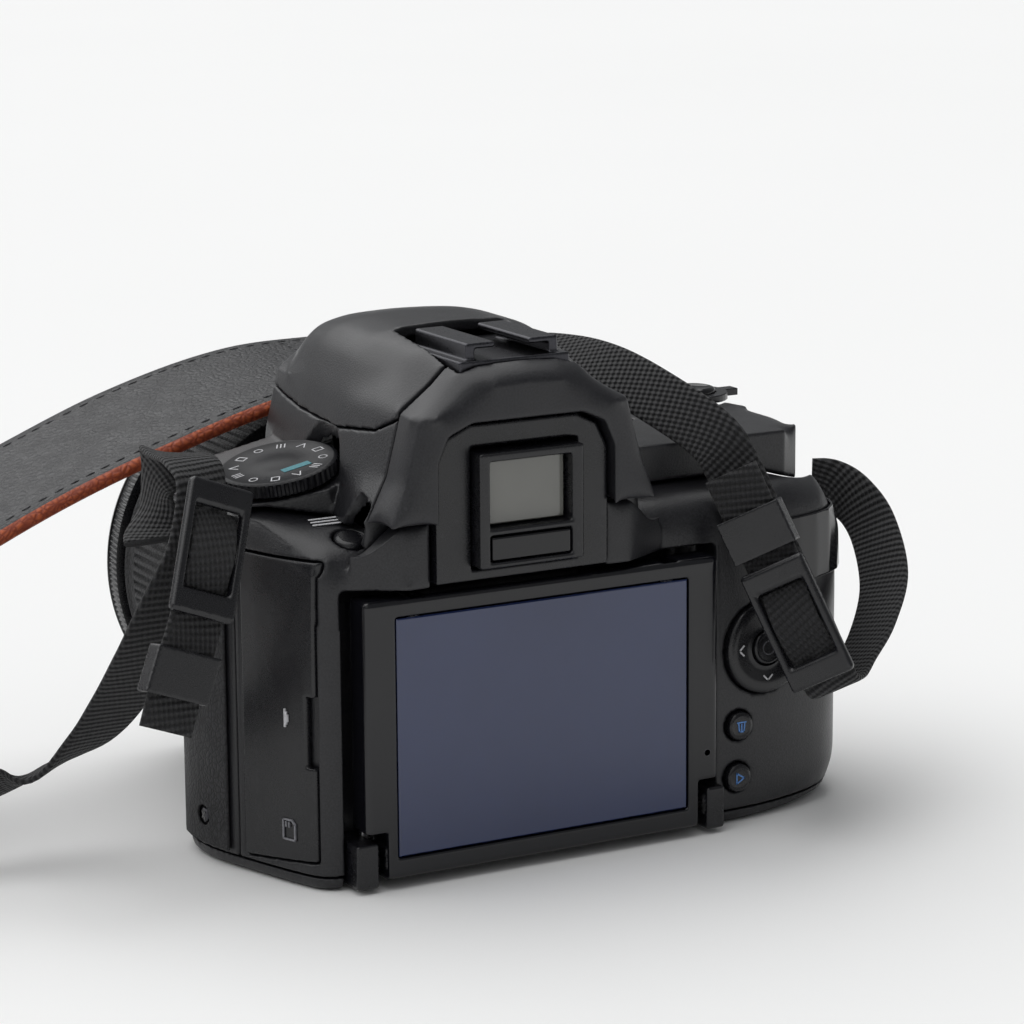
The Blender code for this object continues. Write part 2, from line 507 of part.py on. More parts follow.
def make_screen():
    """The tilting screen: a panel hinged to a bracket, which is hinged to the body."""
    s, w = SCREEN, WINDOW
    panel = box("lcd_housing", "gloss_plastic", s["x0"], s["x1"], 0, s["depth"], s["z0"], s["z1"])
    bevel(panel, 0.9, 2)
    boolean(panel, "DIFFERENCE", box("cut_window", None, w["x0"] - GAP, w["x1"] + GAP, -1, 1.3,
                                     w["z0"] - GAP, w["z1"] + GAP))
    for name, x0, x1 in (("left", -40, -26.4), ("right", 37.8, 50)):
        boolean(panel, "DIFFERENCE", box(f"cut_ear_{name}", None, x0, x1, -5, 12, -5, 10.9))
    for name, x0, x1 in (("left", -21.6, -18.4), ("right", 30.4, 33.6)):
        boolean(panel, "DIFFERENCE", box(f"cut_arm_{name}", None, x0, x1, 0.9, 12, 48.0, 60))
        box_pin = disc(f"cut_pin_{name}", None, 0.6 + GAP, x1 - x0 + 6, (x0 - 3, *PANEL_PIN), X, 12)
        boolean(panel, "DIFFERENCE", box_pin)
    turn_on(panel, 0, *PANEL_PIN)
    glass = box("lcd_window", "glass", w["x0"], w["x1"], 0.1, 1.0, w["z0"], w["z1"])
    turn_on(glass, 0, *PANEL_PIN)

    bracket = box("lcd_bracket", "steel", -27.9, 39.4, 8.0, 9.2, 2.0, 50.0)
    for name, x0, x1 in (("left", -21.2, -18.8), ("right", 30.8, 33.2)):
        boolean(bracket, "UNION", box(f"cut_reach_{name}", None, x0, x1, 1.6, 9.2, 48.6, 51.7))
        pin = disc(f"cut_panel_pin_{name}", None, 0.6, x1 - x0 + 4, (x0 - 2, *PANEL_PIN), X, 12)
        boolean(bracket, "UNION", pin)
    for name, x0, x1, out in (("left", -27.9, -26.9, -31.0), ("right", 38.3, 39.4, 42.2)):
        boolean(bracket, "UNION", box(f"cut_leg_{name}", None, x0, x1, 2.6, 9.2, 3.2, 7.2))
        start, end = min(x0, out), max(x1, out)
        boolean(bracket, "UNION", disc(f"cut_leg_pin_{name}", None, 1.0, end - start,
                                       (start, *BRACKET_PIN), X, 12))
    turn_on(bracket, 0, *BRACKET_PIN)
    for name, x0, x1, bore in (("left", -32.5, -28.3, -31.3), ("right", 39.8, 43.6, 39.5)):
        ear = box(f"hinge_ear_{name}", "satin_plastic", x0, x1, 0.2, RECESS["y"] - GAP, 1.0, 9.0)
        boolean(ear, "DIFFERENCE", disc(f"cut_ear_{name}_bore", None, 1.0 + GAP, 3.2,
                                        (bore, *BRACKET_PIN), X, 12))
        bevel(ear, 0.6, 1)


def make_eyepiece():
    plate = [(-17.4, 55.2), (17.0, 55.2), (17.0, 76.6), (14.8, 81.0), (10.6, 83.0), (-10.6, 83.0),
             (-15.2, 81.0), (-17.4, 76.6)]
    surround = extrusion("eyepiece_surround", "satin_plastic", plate, (0, 4.0, 0), X, Z, 6.4)
    boolean(surround, "DIFFERENCE", box("cut_surround", None, -8.6, 8.2, -9, 9, 62.6, 78.0))
    boolean(surround, "DIFFERENCE", box("cut_surround_rear", None, -10.6, 10.9, -9, 2.8, 57.0, 79))
    frame = box("eyepiece_frame", "satin_plastic", -10.3, 10.6, -5.4, 2.4, 57.6, 78.2)
    boolean(frame, "DIFFERENCE", box("cut_eye_hole", None, -8.2, 8.2, -9, 9, 64.6, 76.6))
    boolean(frame, "DIFFERENCE", box("cut_eye_sensor", None, -8.2, 8.2, -9, -4.0, 58.6, 63.4))
    bevel(frame, 0.3, 1)
    box("eyepiece_window", "glass", -7.9, 7.9, -2.8, -1.6, 64.9, 76.3)
    box("eye_sensor", "gloss_plastic", -7.9, 7.9, -5.2, -4.3, 58.9, 63.1, 0.3)


def make_controls():
    """Every dial, button and switch on the body."""
    profile = [(0, -2.6), (DIAL_R, -2.6), (DIAL_R, -0.5), (DIAL_R - 0.7, 0), (0, 0)]
    dial = turned("mode_dial", "satin_plastic", profile, DIAL_TOP, DIAL_AXIS, 40)
    turn_on(dial, *DIAL_TOP)

    pad_x, pad_z = PAD_CENTRE
    pad = turned("control_pad", "satin_plastic", [(PAD_R, 0), (PAD_R, -1.8), (PAD_R - 0.8, -2.4),
                 (3.6, -2.4), (3.6, 0)], (pad_x, 5.4, pad_z), Y, 40)
    turn_on(pad, pad_x, 3.0, pad_z)
    enter = disc("enter_button", "satin_plastic", 3.2, 2.6, (pad_x, 5.2, pad_z), -Y, 24, 0.4)
    turn_on(enter, pad_x, 3.0, pad_z)
    for name, x, z in (("delete_button", 49.0, 18.9), ("playback_button", 48.7, 8.9)):
        key = disc(name, "satin_plastic", 2.7, 2.6, (x, 5.6, z), -Y, 24, 0.5)
        turn_on(key, x, 3.0, z)
    menu = disc("menu_button", "satin_plastic", 2.9, 3.2, MENU - MENU_SLOPE * 2.5, MENU_SLOPE, 24, 0.6)
    turn_on(menu, *MENU)
    turn_on(disc("drive_button", "satin_plastic", 2.8, 3.0, (56, 30, 69.2), Z, 24, 0.4), 56, 30, 71.6)
    live = box("live_view_switch", "satin_plastic", 37.0, 43.4, 39.0, 43.0, 69.8, 72.8, 0.4)
    turn_on(live, 37.0, 41, 71)
    turn_on(disc("shutter_button", "satin_plastic", 4.4, 4.2, (SHUTTER.x, SHUTTER.y, 70.2), Z, 32, 0.6),
            SHUTTER.x, SHUTTER.y, 74)
    lever = turned("power_lever", "satin_plastic", [(6.9, 72.0), (6.9, 73.4), (4.7, 73.4), (4.7, 72.0)],
                   (SHUTTER.x, SHUTTER.y, 0), Z, 40)
    boolean(lever, "UNION", box("cut_lever_tab", None, SHUTTER.x + 5.5, SHUTTER.x + 9.6,
                                SHUTTER.y - 1.4, SHUTTER.y + 1.4, 72.0, 73.4))
    turn_on(lever, SHUTTER.x, SHUTTER.y, 72)
    wheel = disc("grip_dial", "satin_plastic", 5.2, 8.0, GRIP_DIAL - X * 4, X, 32, 0.4)
    turn_on(wheel, *GRIP_DIAL)
    release = disc("lens_release", "satin_plastic", 4.3, 4.4, (RELEASE[0], 46.6, RELEASE[1]), Y, 28, 0.5)
    turn_on(release, RELEASE[0], 50, RELEASE[1])


def make_lens():
    """The bayonet, the barrels and the glass. Everything turns about the lens axis."""
    base = (0, 0, LENS_Z)
    ring("lens_mount", "steel", 30.0, 24.9, 1.4, (0, MOUNT_Y - 0.7, LENS_Z), Y, 48)
    profile = [(24.4, 51.0), (24.4, 56.9), (31.0, 56.9), (31.0, 74.0), (28.6, 74.6), (28.6, 96.0),
               (27.4, 96.0), (27.4, 59.6), (21.0, 59.6), (21.0, 51.0)]
    turned("lens_barrel", "satin_plastic", profile, base, Y, 48)
    zoom = [(31.5, 76.0), (34.2, 77.0), (34.2, 99.6), (33.2, 99.9), (28.9, 99.9), (28.9, 75.2), (31.0, 75.2)]
    zoom_ring = turned("zoom_ring", "grip_rubber", zoom, base, Y, 56)
    turn_on(zoom_ring, 0, 87.0, LENS_Z)
    inner = [(27.1, 72.0), (27.1, 100.3), (32.0, 100.3), (32.0, 100.9), (25.0, 101.3), (25.0, 72.0)]
    slide = turned("inner_barrel", "satin_plastic", inner, base, Y, 48)
    turn_on(slide, 0, 90.0, LENS_Z)
    focus = [(33.6, 101.3), (35.0, 102.0), (35.0, 105.6), (34.2, 107.0), (31.2, 107.0), (30.0, 103.4),
             (25.6, 103.4), (25.6, 101.6), (32.4, 101.25)]
    focus_ring = turned("focus_ring", "gloss_plastic", focus, base, Y, 56)
    turn_on(focus_ring, 0, 104.0, LENS_Z)
    front_glass = [(0, 97.0), (24.6, 97.0), (24.6, 99.0), (18, 101.2), (9, 102.4), (0, 102.8)]
    turn_on(turned("front_element", "glass", front_glass, base, Y, 40), 0, 90.0, LENS_Z)
    switch = box("focus_mode_switch", "satin_plastic", -32.6, -31.3, 63.0, 66.0, LENS_Z - 1.6, LENS_Z + 1.6)
    turn_on(switch, -31.9, 64.5, LENS_Z)


def make_inside():
    """What the body holds: sensor, shutter, mirror, prism, battery, card and their holders."""
    box("image_sensor", "glass", -17, 17, 14.8, 17.2, LENS_Z - 13, LENS_Z + 11)
    shutter = box("shutter_unit", "steel", -21, 21, 17.6, 20.2, LENS_Z - 18, LENS_Z + 16)
    boolean(shutter, "DIFFERENCE", box("cut_shutter_gate", None, -12, 12, 0, 40, LENS_Z - 8, LENS_Z + 8))
    mirror_box = box("mirror_box", "satin_plastic", -20.6, 20.6, 20.6, 45.8, 18.0, 59.6)
    boolean(mirror_box, "DIFFERENCE", box("cut_mirror_room", None, -18.4, 18.4, 0, 60, 20.2, 70))
    angle = math.radians(45)
    slope = Vector((0, math.sin(angle), -math.cos(angle)))
    mirror = extrusion("reflex_mirror", "steel", [(-14, 0.8), (14, 0.8), (14, 26), (-14, 26)],
                       (0, 22.4, 55.6), X, slope, 1.0)
    turn_on(mirror, 0, 22.4, 55.6)
    prism = [(14.0, 61.0), (44.0, 61.0), (46.0, 74.0), (34.0, 88.0), (16.0, 84.0), (12.0, 72.0)]
    extrusion("pentamirror", "glass", prism, (-14, 0, 0), Y, Z, 28)
    box("battery_cell", "satin_plastic", 49.8, 71.7, 18.3, 45.2, 4.9, 46.0, 0.8)
    hatch = box("battery_door", "body_plastic", 48.5, 73.0, 17.0, 46.5, 0.2, 2.2)
    turn_on(hatch, 49.4, 31.7, 1.0)
    box("memory_card", "satin_plastic", -37.6, -35.5, 13.8, 37.8, 16.0, 48.0)
    ring("tripod_socket", "steel", 8.0, 2.9, 4.6, (0, 30, 0.2), Z, 32)
    lamp = box("flash_tube", "glass", -12, 12, 50.8, 53.2, 83.6, 87.4, 0.4)
    turn_on(lamp, 0, *FLASH_PIN)


def ribbon(name, slot, stations, width, thick, per_span=3):
    """Flat webbing along a smooth path: each station is a point and the direction of its width."""
    spots = smooth_path([Vector(point) for point, _ in stations], per_span)
    sides = smooth_path([Vector(side).normalized() for _, side in stations], per_span)
    loops = []
    for i, spot in enumerate(spots):
        run = (spots[min(i + 1, len(spots) - 1)] - spots[max(i - 1, 0)]).normalized()
        side = (sides[i] - run * sides[i].dot(run)).normalized()
        face = run.cross(side)
        loops.append([spot + side * (a * width / 2) + face * (b * thick / 2)
                      for a, b in ((1, 1), (1, -1), (-1, -1), (-1, 1))])
    return loft(name, slot, loops)


def slider(name, centre, across, down, size):
    """A two-window strap adjuster."""
    width, length, depth = size
    across, down = Vector(across).normalized(), Vector(down).normalized()
    down = (down - across * down.dot(across)).normalized()
    centre = Vector(centre) - across.cross(down) * depth / 2
    half_w, half_l = width / 2, length / 2
    rim = [(-half_w, -half_l), (half_w, -half_l), (half_w, half_l), (-half_w, half_l)]
    frame = extrusion(name, "satin_plastic", rim, centre, across, down, depth)
    window = [(-half_w + 1.6, -half_l * 0.62), (half_w - 1.6, -half_l * 0.62),
              (half_w - 1.6, half_l * 0.62), (-half_w + 1.6, half_l * 0.62)]
    hole = extrusion(f"cut_{name}", None, window, centre - across.cross(down) * 9, across, down, 20)
    boolean(frame, "DIFFERENCE", hole)
    return bevel(frame, 0.5, 1)


def make_strap():
    """The neck strap as it lies: over the lens and the right shoulder, and out past the left side."""
    for name, x0, x1, y, z in (("left", -50.4, -47.6, 38.0, 65.5), ("right", 82.0, 84.8, 36.0, 50.0)):
        loop = box(f"lug_{name}", "steel", x0, x1, y - 6.8, y + 6.8, z - 2.8, z + 2.8)
        boolean(loop, "DIFFERENCE", box(f"cut_lug_{name}", None, x0 - 5, x1 + 5, y - 5.6, y + 5.6,
                                        z - 1.5, z + 1.5))
    ribbon("strap_webbing_left", "strap_fabric", LEFT_ROUTE, WEB_W, WEB_T)
    ribbon("strap_webbing_right", "strap_fabric", RIGHT_ROUTE, WEB_W, WEB_T)
    ribbon("strap_tail_left", "strap_fabric", LEFT_TAIL, WEB_W, WEB_T, 2)
    ribbon("strap_tail_right", "strap_fabric", RIGHT_TAIL, WEB_W, WEB_T, 2)
    ribbon("neck_band", "strap_leather", BAND_ROUTE, BAND_W, BAND_T, 2)
    for name, centre, across, down in SLIDERS:
        slider(f"slider_{name}", centre, across, down, SLIDER_SIZE)
    for name, centre, across, down in KEEPERS:
        across, down = Vector(across).normalized(), Vector(down).normalized()
        half_w, half_l = SLIDER_SIZE[0] / 2, KEEPER_SIZE[0] / 2
        outline = [(-half_w, -half_l), (half_w, -half_l), (half_w, half_l), (-half_w, half_l)]
        push = across.cross(down)
        keeper = extrusion(f"keeper_{name}", "satin_plastic", outline,
                           Vector(centre) - push * KEEPER_SIZE[1] / 2, across, down, KEEPER_SIZE[1])
        inside = [(a * 0.86, b * 3) for a, b in outline]
        boolean(keeper, "DIFFERENCE", extrusion(f"cut_keeper_{name}", None, inside, Vector(centre)
                                                - push * 1.3, across, down, 2.6))


clear_scene()
CAMERA = make_collection("reflex_camera")
CUTTERS = make_collection("cutters")
make_materials()
CUT = make_cutters()
make_casing(CUT)
make_top(CUT)
make_screen()
make_eyepiece()
make_controls()
make_lens()
make_inside()
make_strap()
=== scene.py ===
"""The compact reflex camera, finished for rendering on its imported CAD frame.

Lengths are in millimetres in the CAD's own coordinates, from the lens axis (x), the screen face
(y) and the base (z). at() turns them into the row frame's metres.
"""
import json
import math

import bmesh
import bpy
from mathutils import Matrix, Vector
from mathutils.kdtree import KDTree


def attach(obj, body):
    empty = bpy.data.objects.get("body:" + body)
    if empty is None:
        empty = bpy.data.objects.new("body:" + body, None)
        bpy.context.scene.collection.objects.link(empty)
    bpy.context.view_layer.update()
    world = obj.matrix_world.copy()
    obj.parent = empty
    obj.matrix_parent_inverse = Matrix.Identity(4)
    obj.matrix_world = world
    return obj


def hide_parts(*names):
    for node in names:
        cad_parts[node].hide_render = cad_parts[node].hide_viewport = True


MM = 0.001
FOOT = Vector((17.2, 50.8, 0.0))
X, Y, Z = Vector((1, 0, 0)), Vector((0, 1, 0)), Vector((0, 0, 1))

# Where the camera stands and looks, in metres
EYE = Vector((-0.3166, -0.5955, 0.2013))
LOOK = Vector((0.46929, 0.85701, -0.21282))
ROLL = math.radians(-0.454)
LENS = 126.6
WORLD_STRENGTH = 0.22
# Name: where the light comes from, its angle in degrees and its strength
SUNS = {
    "sky": ((-0.35, 0.45, 1.0), 95, 2.9),
    "front": ((-0.8, -0.9, 1.0), 60, 0.34),
}

# Where the rear cover falls away beside the hood's feet: start of the slope, its run, top and drop
SLOPE_START, SLOPE_RUN, SLOPE_TOP, SLOPE_DROP = 21.0, 9.0, 66.2, 5.6

SHARP_CAD_EDGE = math.radians(34)
SHARP_TURNED_EDGE = math.radians(38)

LENS_Z = 38.8
# Panes: x, z and y from low to high
SCREEN_PANE = (-24.2, 35.3, 6.0, 49.4, 0.1, 1.0)
EYE_PANE = (-7.9, 7.9, 64.9, 76.3, -2.8, -1.6)
DIAL_AXIS = Vector((-0.203, -0.084, 1.0)).normalized()
DIAL_TOP = Vector((-33.0, 28.7, 73.4))
DIAL_R = 11.0
PAD = Vector((54.8, 3.0, 33.4))
MENU, MENU_SLOPE = Vector((-28.2, 10.0, 62.2)), Vector((0.0, -0.36, 1.0)).normalized()
SHUTTER = Vector((67.0, 50.0, 74.4))
GRIP_DIAL = Vector((57.5, 60.5, 58.0))
RELEASE = Vector((-37.5, 46.6, 27.0))
DRIVE = Vector((56, 30, 69.2))
DELETE_X, DELETE_Z = 49.0, 18.9
PLAYBACK_X, PLAYBACK_Z = 48.7, 8.9

# The strap, station by station as in the CAD: a point and the direction of the width
WEB_W, WEB_T = 10.4, 1.2
BAND_W, BAND_T = 36.0, 3.0
SLIDER_L = 23.4
WEB_STEPS, BAND_STEPS = 8, 10
STITCH_PITCH, STITCH_INSET = 3.1, 3.2
LEFT_ACROSS, LEFT_DOWN = (0.930, 0.068, -0.354), (-0.303, -0.289, -0.908)
RIGHT_ACROSS, RIGHT_DOWN = (0.626, -0.636, 0.454), (0.276, -0.361, -0.891)
LEFT_ROUTE = [
    ((-57.0, 30.0, 61.4), (0.8, -0.6, 0.05)), ((-55.4, 34.0, 62.6), (0.6, -0.8, 0)),
    ((-53.4, 36.8, 66.0), (0.15, -0.98, 0)), ((-52.6, 37.2, 70.6), (0.2, -0.98, -0.05)),
    ((-52.4, 34.0, 75.0), (0.65, -0.75, -0.1)), ((-53.2, 26.0, 77.0), (0.87, -0.49, 0)),
    ((-54.6, 17.4, 77.4), (0.9, -0.3, -0.1)), ((-55.3, 12.4, 74.6), LEFT_ACROSS),
    ((-56.4, 10.2, 69.8), LEFT_ACROSS), ((-58.8, 8.8, 63.2), LEFT_ACROSS),
    ((-61.6, 10.0, 57.4), (0.88, 0.12, -0.44)), ((-63.6, 13.0, 51.0), (0.87, 0.14, -0.45)),
    ((-64.8, 17.6, 44.2), (0.85, 0.2, -0.45)), ((-65.7, 26.0, 34.8), (0.85, 0.2, -0.45)),
    ((-68.6, 34.4, 25.8), (0.75, 0.5, -0.4)), ((-75.6, 42.0, 18.4), (0.45, 0.85, -0.1)),
    ((-84.0, 46.0, 16.5), (0.2, 0.6, -0.75)), ((-104.0, 45.0, 15.0), (0, 0.1, -1)),
    ((-128.0, 34.0, 17.0), (0, 0, -1)), ((-148.0, 20.0, 19.0), (0, 0, -1)),
    ((-165.0, 9.7, 19.5), (0, 0, -1)),
]
BAND_ROUTE = [
    ((10.0, 80.0, 80.0), (0, 1, 0.10)), ((-14.0, 77.5, 79.6), (0, 1, 0.10)),
    ((-40.0, 76.0, 73.4), (0.1, 1, 0.15)), ((-70.0, 75.0, 62.5), (0.25, 1, 0.2)),
    ((-106.0, 75.0, 47.0), (0.35, 0.9, 0.4)), ((-146.0, 80.0, 31.0), (0.35, 0.6, 0.9)),
    ((-190.0, 88.0, 21.5), (0.1, 0.15, 1)), ((-242.0, 92.0, 19.5), (0, 0, 1)),
    ((-288.0, 76.0, 19.5), (0, 0, 1)), ((-306.0, 42.0, 19.5), (0, 0, 1)),
    ((-292.0, 8.0, 19.5), (0, 0, 1)), ((-256.0, -10.0, 19.5), (0, 0, 1)),
    ((-208.0, -6.0, 19.5), (0, 0, 1)), ((-166.0, 9.0, 19.5), (0, 0, 1)),
]
RIGHT_ROUTE = [
    ((14.5, 79.6, 80.6), (0.3, 0.95, 0.05)), ((28.0, 72.0, 82.0), (0.72, 0.66, 0.2)),
    ((36.0, 56.0, 83.5), (0.82, 0.2, 0.5)), ((39.0, 36.0, 82.5), (0.62, 0, 0.78)),
    ((42.0, 19.0, 78.5), (0.55, -0.1, 0.83)), ((45.6, 8.0, 73.4), (0.62, -0.25, 0.74)),
    ((47.8, 4.0, 67.4), (0.68, -0.35, 0.65)), ((50.8, -0.4, 57.0), (0.68, -0.45, 0.57)),
    ((55.8, -7.1, 41.0), RIGHT_ACROSS), ((58.2, -9.8, 33.2), RIGHT_ACROSS),
    ((60.6, -9.8, 28.4), RIGHT_ACROSS), ((64.4, -7.2, 27.4), RIGHT_ACROSS),
    ((69.6, -3.0, 29.4), RIGHT_ACROSS), ((78.0, 3.0, 33.8), RIGHT_ACROSS),
    ((87.2, 12.5, 40.2), RIGHT_ACROSS), ((91.9, 23.0, 47.6), (0.55, -0.45, 0.7)),
    ((91.9, 29.6, 52.4), (0.35, -0.35, 0.87)), ((89.4, 34.2, 54.8), (0.3, 0.1, 0.95)),
    ((86.2, 36.4, 55.0), (0.1, 0.2, 0.97)),
]
TAILS = {
    "left": [
        ((-58.1, 5.3, 63.6), LEFT_ACROSS), ((-61.3, 2.0, 53.9), LEFT_ACROSS),
        ((-65.5, 0.1, 45.0), LEFT_ACROSS), ((-69.0, -1.3, 35.8), LEFT_ACROSS),
    ],
    "right": [
        ((53.3, -11.2, 40.0), RIGHT_ACROSS), ((49.5, -6.5, 52.1), RIGHT_ACROSS),
        ((47.7, -4.2, 57.7), RIGHT_ACROSS), ((44.4, 0.1, 68.4), RIGHT_ACROSS),
    ],
}
SLIDERS = {
    "left": ((-57.5, 3.6, 65.0), LEFT_ACROSS, LEFT_DOWN),
    "right": ((51.3, -12.0, 41.8), RIGHT_ACROSS, RIGHT_DOWN),
}

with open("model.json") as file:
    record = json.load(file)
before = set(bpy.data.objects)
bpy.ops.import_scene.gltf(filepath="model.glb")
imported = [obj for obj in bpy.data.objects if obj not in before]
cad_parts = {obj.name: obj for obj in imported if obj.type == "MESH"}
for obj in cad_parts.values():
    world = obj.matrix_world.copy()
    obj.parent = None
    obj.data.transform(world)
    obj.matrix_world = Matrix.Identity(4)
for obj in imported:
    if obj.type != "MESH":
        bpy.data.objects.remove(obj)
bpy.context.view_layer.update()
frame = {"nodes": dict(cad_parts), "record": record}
BODIES = frame["record"]["behaviour"]["bodies"]
BODY_OF = {node: body for body, nodes in BODIES.items() for node in nodes}


def at(spot):
    """A CAD point in the frame's metres."""
    return (Vector(spot) - FOOT) * MM


# Materials

def start_material(name, roughness, metallic=0.0):
    mat = bpy.data.materials.new(name)
    mat.use_nodes = True
    shader = mat.node_tree.nodes["Principled BSDF"]
    shader.inputs["Roughness"].default_value = roughness
    shader.inputs["Metallic"].default_value = metallic
    return mat, mat.node_tree, shader


def add(tree, kind, links=(), **values):
    """A node with its plain inputs set by name and its linked ones joined to other sockets."""
    node = tree.nodes.new(kind)
    for name, value in values.items():
        if hasattr(node, name):
            setattr(node, name, value)
        else:
            node.inputs[name].default_value = value
    for name, socket in links:
        tree.links.new(socket, node.inputs[name])
    return node


def noise(tree, scale, detail=2.0):
    place = add(tree, "ShaderNodeTexCoord").outputs["Object"]
    node = add(tree, "ShaderNodeTexNoise", [("Vector", place)], Scale=scale, Detail=detail)
    return node.outputs["Fac"]


def cells(tree, scale, feature="DISTANCE_TO_EDGE"):
    place = add(tree, "ShaderNodeTexCoord").outputs["Object"]
    return add(tree, "ShaderNodeTexVoronoi", [("Vector", place)], feature=feature,
               Scale=scale).outputs["Distance"]


def spread(tree, socket, low, high, start=0.3, end=0.7):
    """Map a pattern from its own range onto the values wanted."""
    node = add(tree, "ShaderNodeMapRange", [("Value", socket)])
    for name, value in (("From Min", start), ("From Max", end), ("To Min", low), ("To Max", high)):
        node.inputs[name].default_value = value
    return node.outputs["Result"]


def math_node(tree, operation, first, second):
    node = tree.nodes.new("ShaderNodeMath")
    node.operation = operation
    for socket, value in zip(node.inputs, (first, second)):
        if isinstance(value, (int, float)):
            socket.default_value = value
        else:
            tree.links.new(value, socket)
    return node.outputs[0]


def two_tone(tree, shader, fac, dark, light):
    mix = add(tree, "ShaderNodeMix", data_type="RGBA")
    tree.links.new(fac, mix.inputs[0])
    mix.inputs[6].default_value = (*dark, 1.0)
    mix.inputs[7].default_value = (*light, 1.0)
    tree.links.new(mix.outputs[2], shader.inputs["Base Color"])


def relief(tree, shader, height, depth_mm, strength=1.0):
    bump = add(tree, "ShaderNodeBump", [("Height", height)], Strength=strength, Distance=depth_mm * MM)
    tree.links.new(bump.outputs["Normal"], shader.inputs["Normal"])


def edge_wear(tree, amount):
    """Brighter where the surface turns sharply outwards."""
    sharp = add(tree, "ShaderNodeNewGeometry").outputs["Pointiness"]
    return spread(tree, sharp, 0.0, amount, 0.53, 0.62)


def moulded(name, dark, light, roughness, grain, depth_mm, wear=0.35):
    """Injection moulded plastic: a fine grain, blotchy gloss and lightly rubbed edges."""
    mat, tree, shader = start_material(name, roughness)
    fine = noise(tree, grain, 3.0)
    blotches = noise(tree, 90.0, 4.0)
    tone = math_node(tree, "ADD", spread(tree, fine, 0.0, 0.5), edge_wear(tree, wear))
    two_tone(tree, shader, tone, dark, light)
    rough = math_node(tree, "ADD", spread(tree, blotches, roughness - 0.05, roughness + 0.05),
                      spread(tree, fine, -0.03, 0.03))
    tree.links.new(rough, shader.inputs["Roughness"])
    relief(tree, shader, fine, depth_mm)
    return mat


def rubber(name, dark, light, scale, depth_mm):
    """Soft covering with a leather-like grain of small cells."""
    mat, tree, shader = start_material(name, 0.62)
    pits = cells(tree, scale)
    two_tone(tree, shader, spread(tree, pits, 0.0, 1.0, 0.0, 0.35), dark, light)
    height = math_node(tree, "ADD", spread(tree, pits, 0.0, 1.0, 0.0, 0.2), noise(tree, scale * 4))
    tree.links.new(spread(tree, noise(tree, 70.0), 0.56, 0.7), shader.inputs["Roughness"])
    relief(tree, shader, height, depth_mm)
    return mat


def metal(name, dark, light, roughness):
    """Turned or plated metal with fine scratches."""
    mat, tree, shader = start_material(name, roughness, 1.0)
    lines = noise(tree, 2200.0, 5.0)
    two_tone(tree, shader, lines, dark, light)
    tree.links.new(spread(tree, lines, roughness - 0.08, roughness + 0.1), shader.inputs["Roughness"])
    relief(tree, shader, lines, 0.01)
    return mat


def glazing(name, dark, light, roughness=0.04):
    """Coated glass over a dark ground, with faint smears."""
    mat, tree, shader = start_material(name, roughness)
    smear = noise(tree, 45.0, 3.0)
    two_tone(tree, shader, smear, dark, light)
    tree.links.new(spread(tree, smear, roughness, roughness + 0.06), shader.inputs["Roughness"])
    shader.inputs["Coat Weight"].default_value = 0.6
    shader.inputs["Coat Roughness"].default_value = 0.03
    return mat


def woven(name):
    """Twill webbing: slanted ribs broken into short floats, read from the ribbon's own lengths."""
    mat, tree, shader = start_material(name, 0.75)
    place = add(tree, "ShaderNodeSeparateXYZ", [("Vector", add(tree, "ShaderNodeUVMap").outputs["UV"])])
    across, along = place.outputs["X"], place.outputs["Y"]
    slant = math_node(tree, "ADD", math_node(tree, "MULTIPLY", along, 4.7),
                      math_node(tree, "MULTIPLY", across, 1.5))
    ribs = math_node(tree, "SINE", slant, 0.0)
    counter = math_node(tree, "SUBTRACT", math_node(tree, "MULTIPLY", across, 6.2),
                        math_node(tree, "MULTIPLY", along, 2.35))
    floats = math_node(tree, "SINE", counter, 0.0)
    weave = math_node(tree, "ADD", ribs, math_node(tree, "MULTIPLY", floats, 0.65))
    fuzz = noise(tree, 5000.0, 3.0)
    tone = math_node(tree, "MULTIPLY", spread(tree, weave, 0.0, 1.0, -1.2, 1.5), fuzz)
    two_tone(tree, shader, tone, (0.0012, 0.0012, 0.0016), (0.030, 0.030, 0.035))
    relief(tree, shader, math_node(tree, "ADD", weave, fuzz), 0.28)
    shader.inputs["Sheen Weight"].default_value = 0.06
    shader.inputs["Sheen Roughness"].default_value = 0.5
    return mat


def hide(name, dark, light, roughness):
    """Leatherette: creased cells over a finer grain."""
    mat, tree, shader = start_material(name, roughness)
    creases = cells(tree, 750.0)
    tone = spread(tree, creases, 0.0, 1.0, 0.0, 0.3)
    two_tone(tree, shader, math_node(tree, "MULTIPLY", tone, noise(tree, 120.0)), dark, light)
    height = math_node(tree, "ADD", tone, noise(tree, 2600.0))
    tree.links.new(spread(tree, noise(tree, 200.0), roughness - 0.07, roughness + 0.07),
                   shader.inputs["Roughness"])
    relief(tree, shader, height, 0.1)
    return mat


def ink(name, colour):
    """Printed paint, a little uneven."""
    mat, tree, shader = start_material(name, 0.5)
    worn = tuple(c * 0.72 for c in colour)
    two_tone(tree, shader, spread(tree, noise(tree, 1800.0), 0.0, 1.0), worn, colour)
    relief(tree, shader, noise(tree, 4000.0), 0.01)
    return mat


def floor_material():
    mat, tree, shader = start_material("floor_paper", 0.85)
    two_tone(tree, shader, noise(tree, 3.0), (0.86, 0.86, 0.855), (0.88, 0.88, 0.875))
    relief(tree, shader, noise(tree, 900.0), 0.02)
    return mat


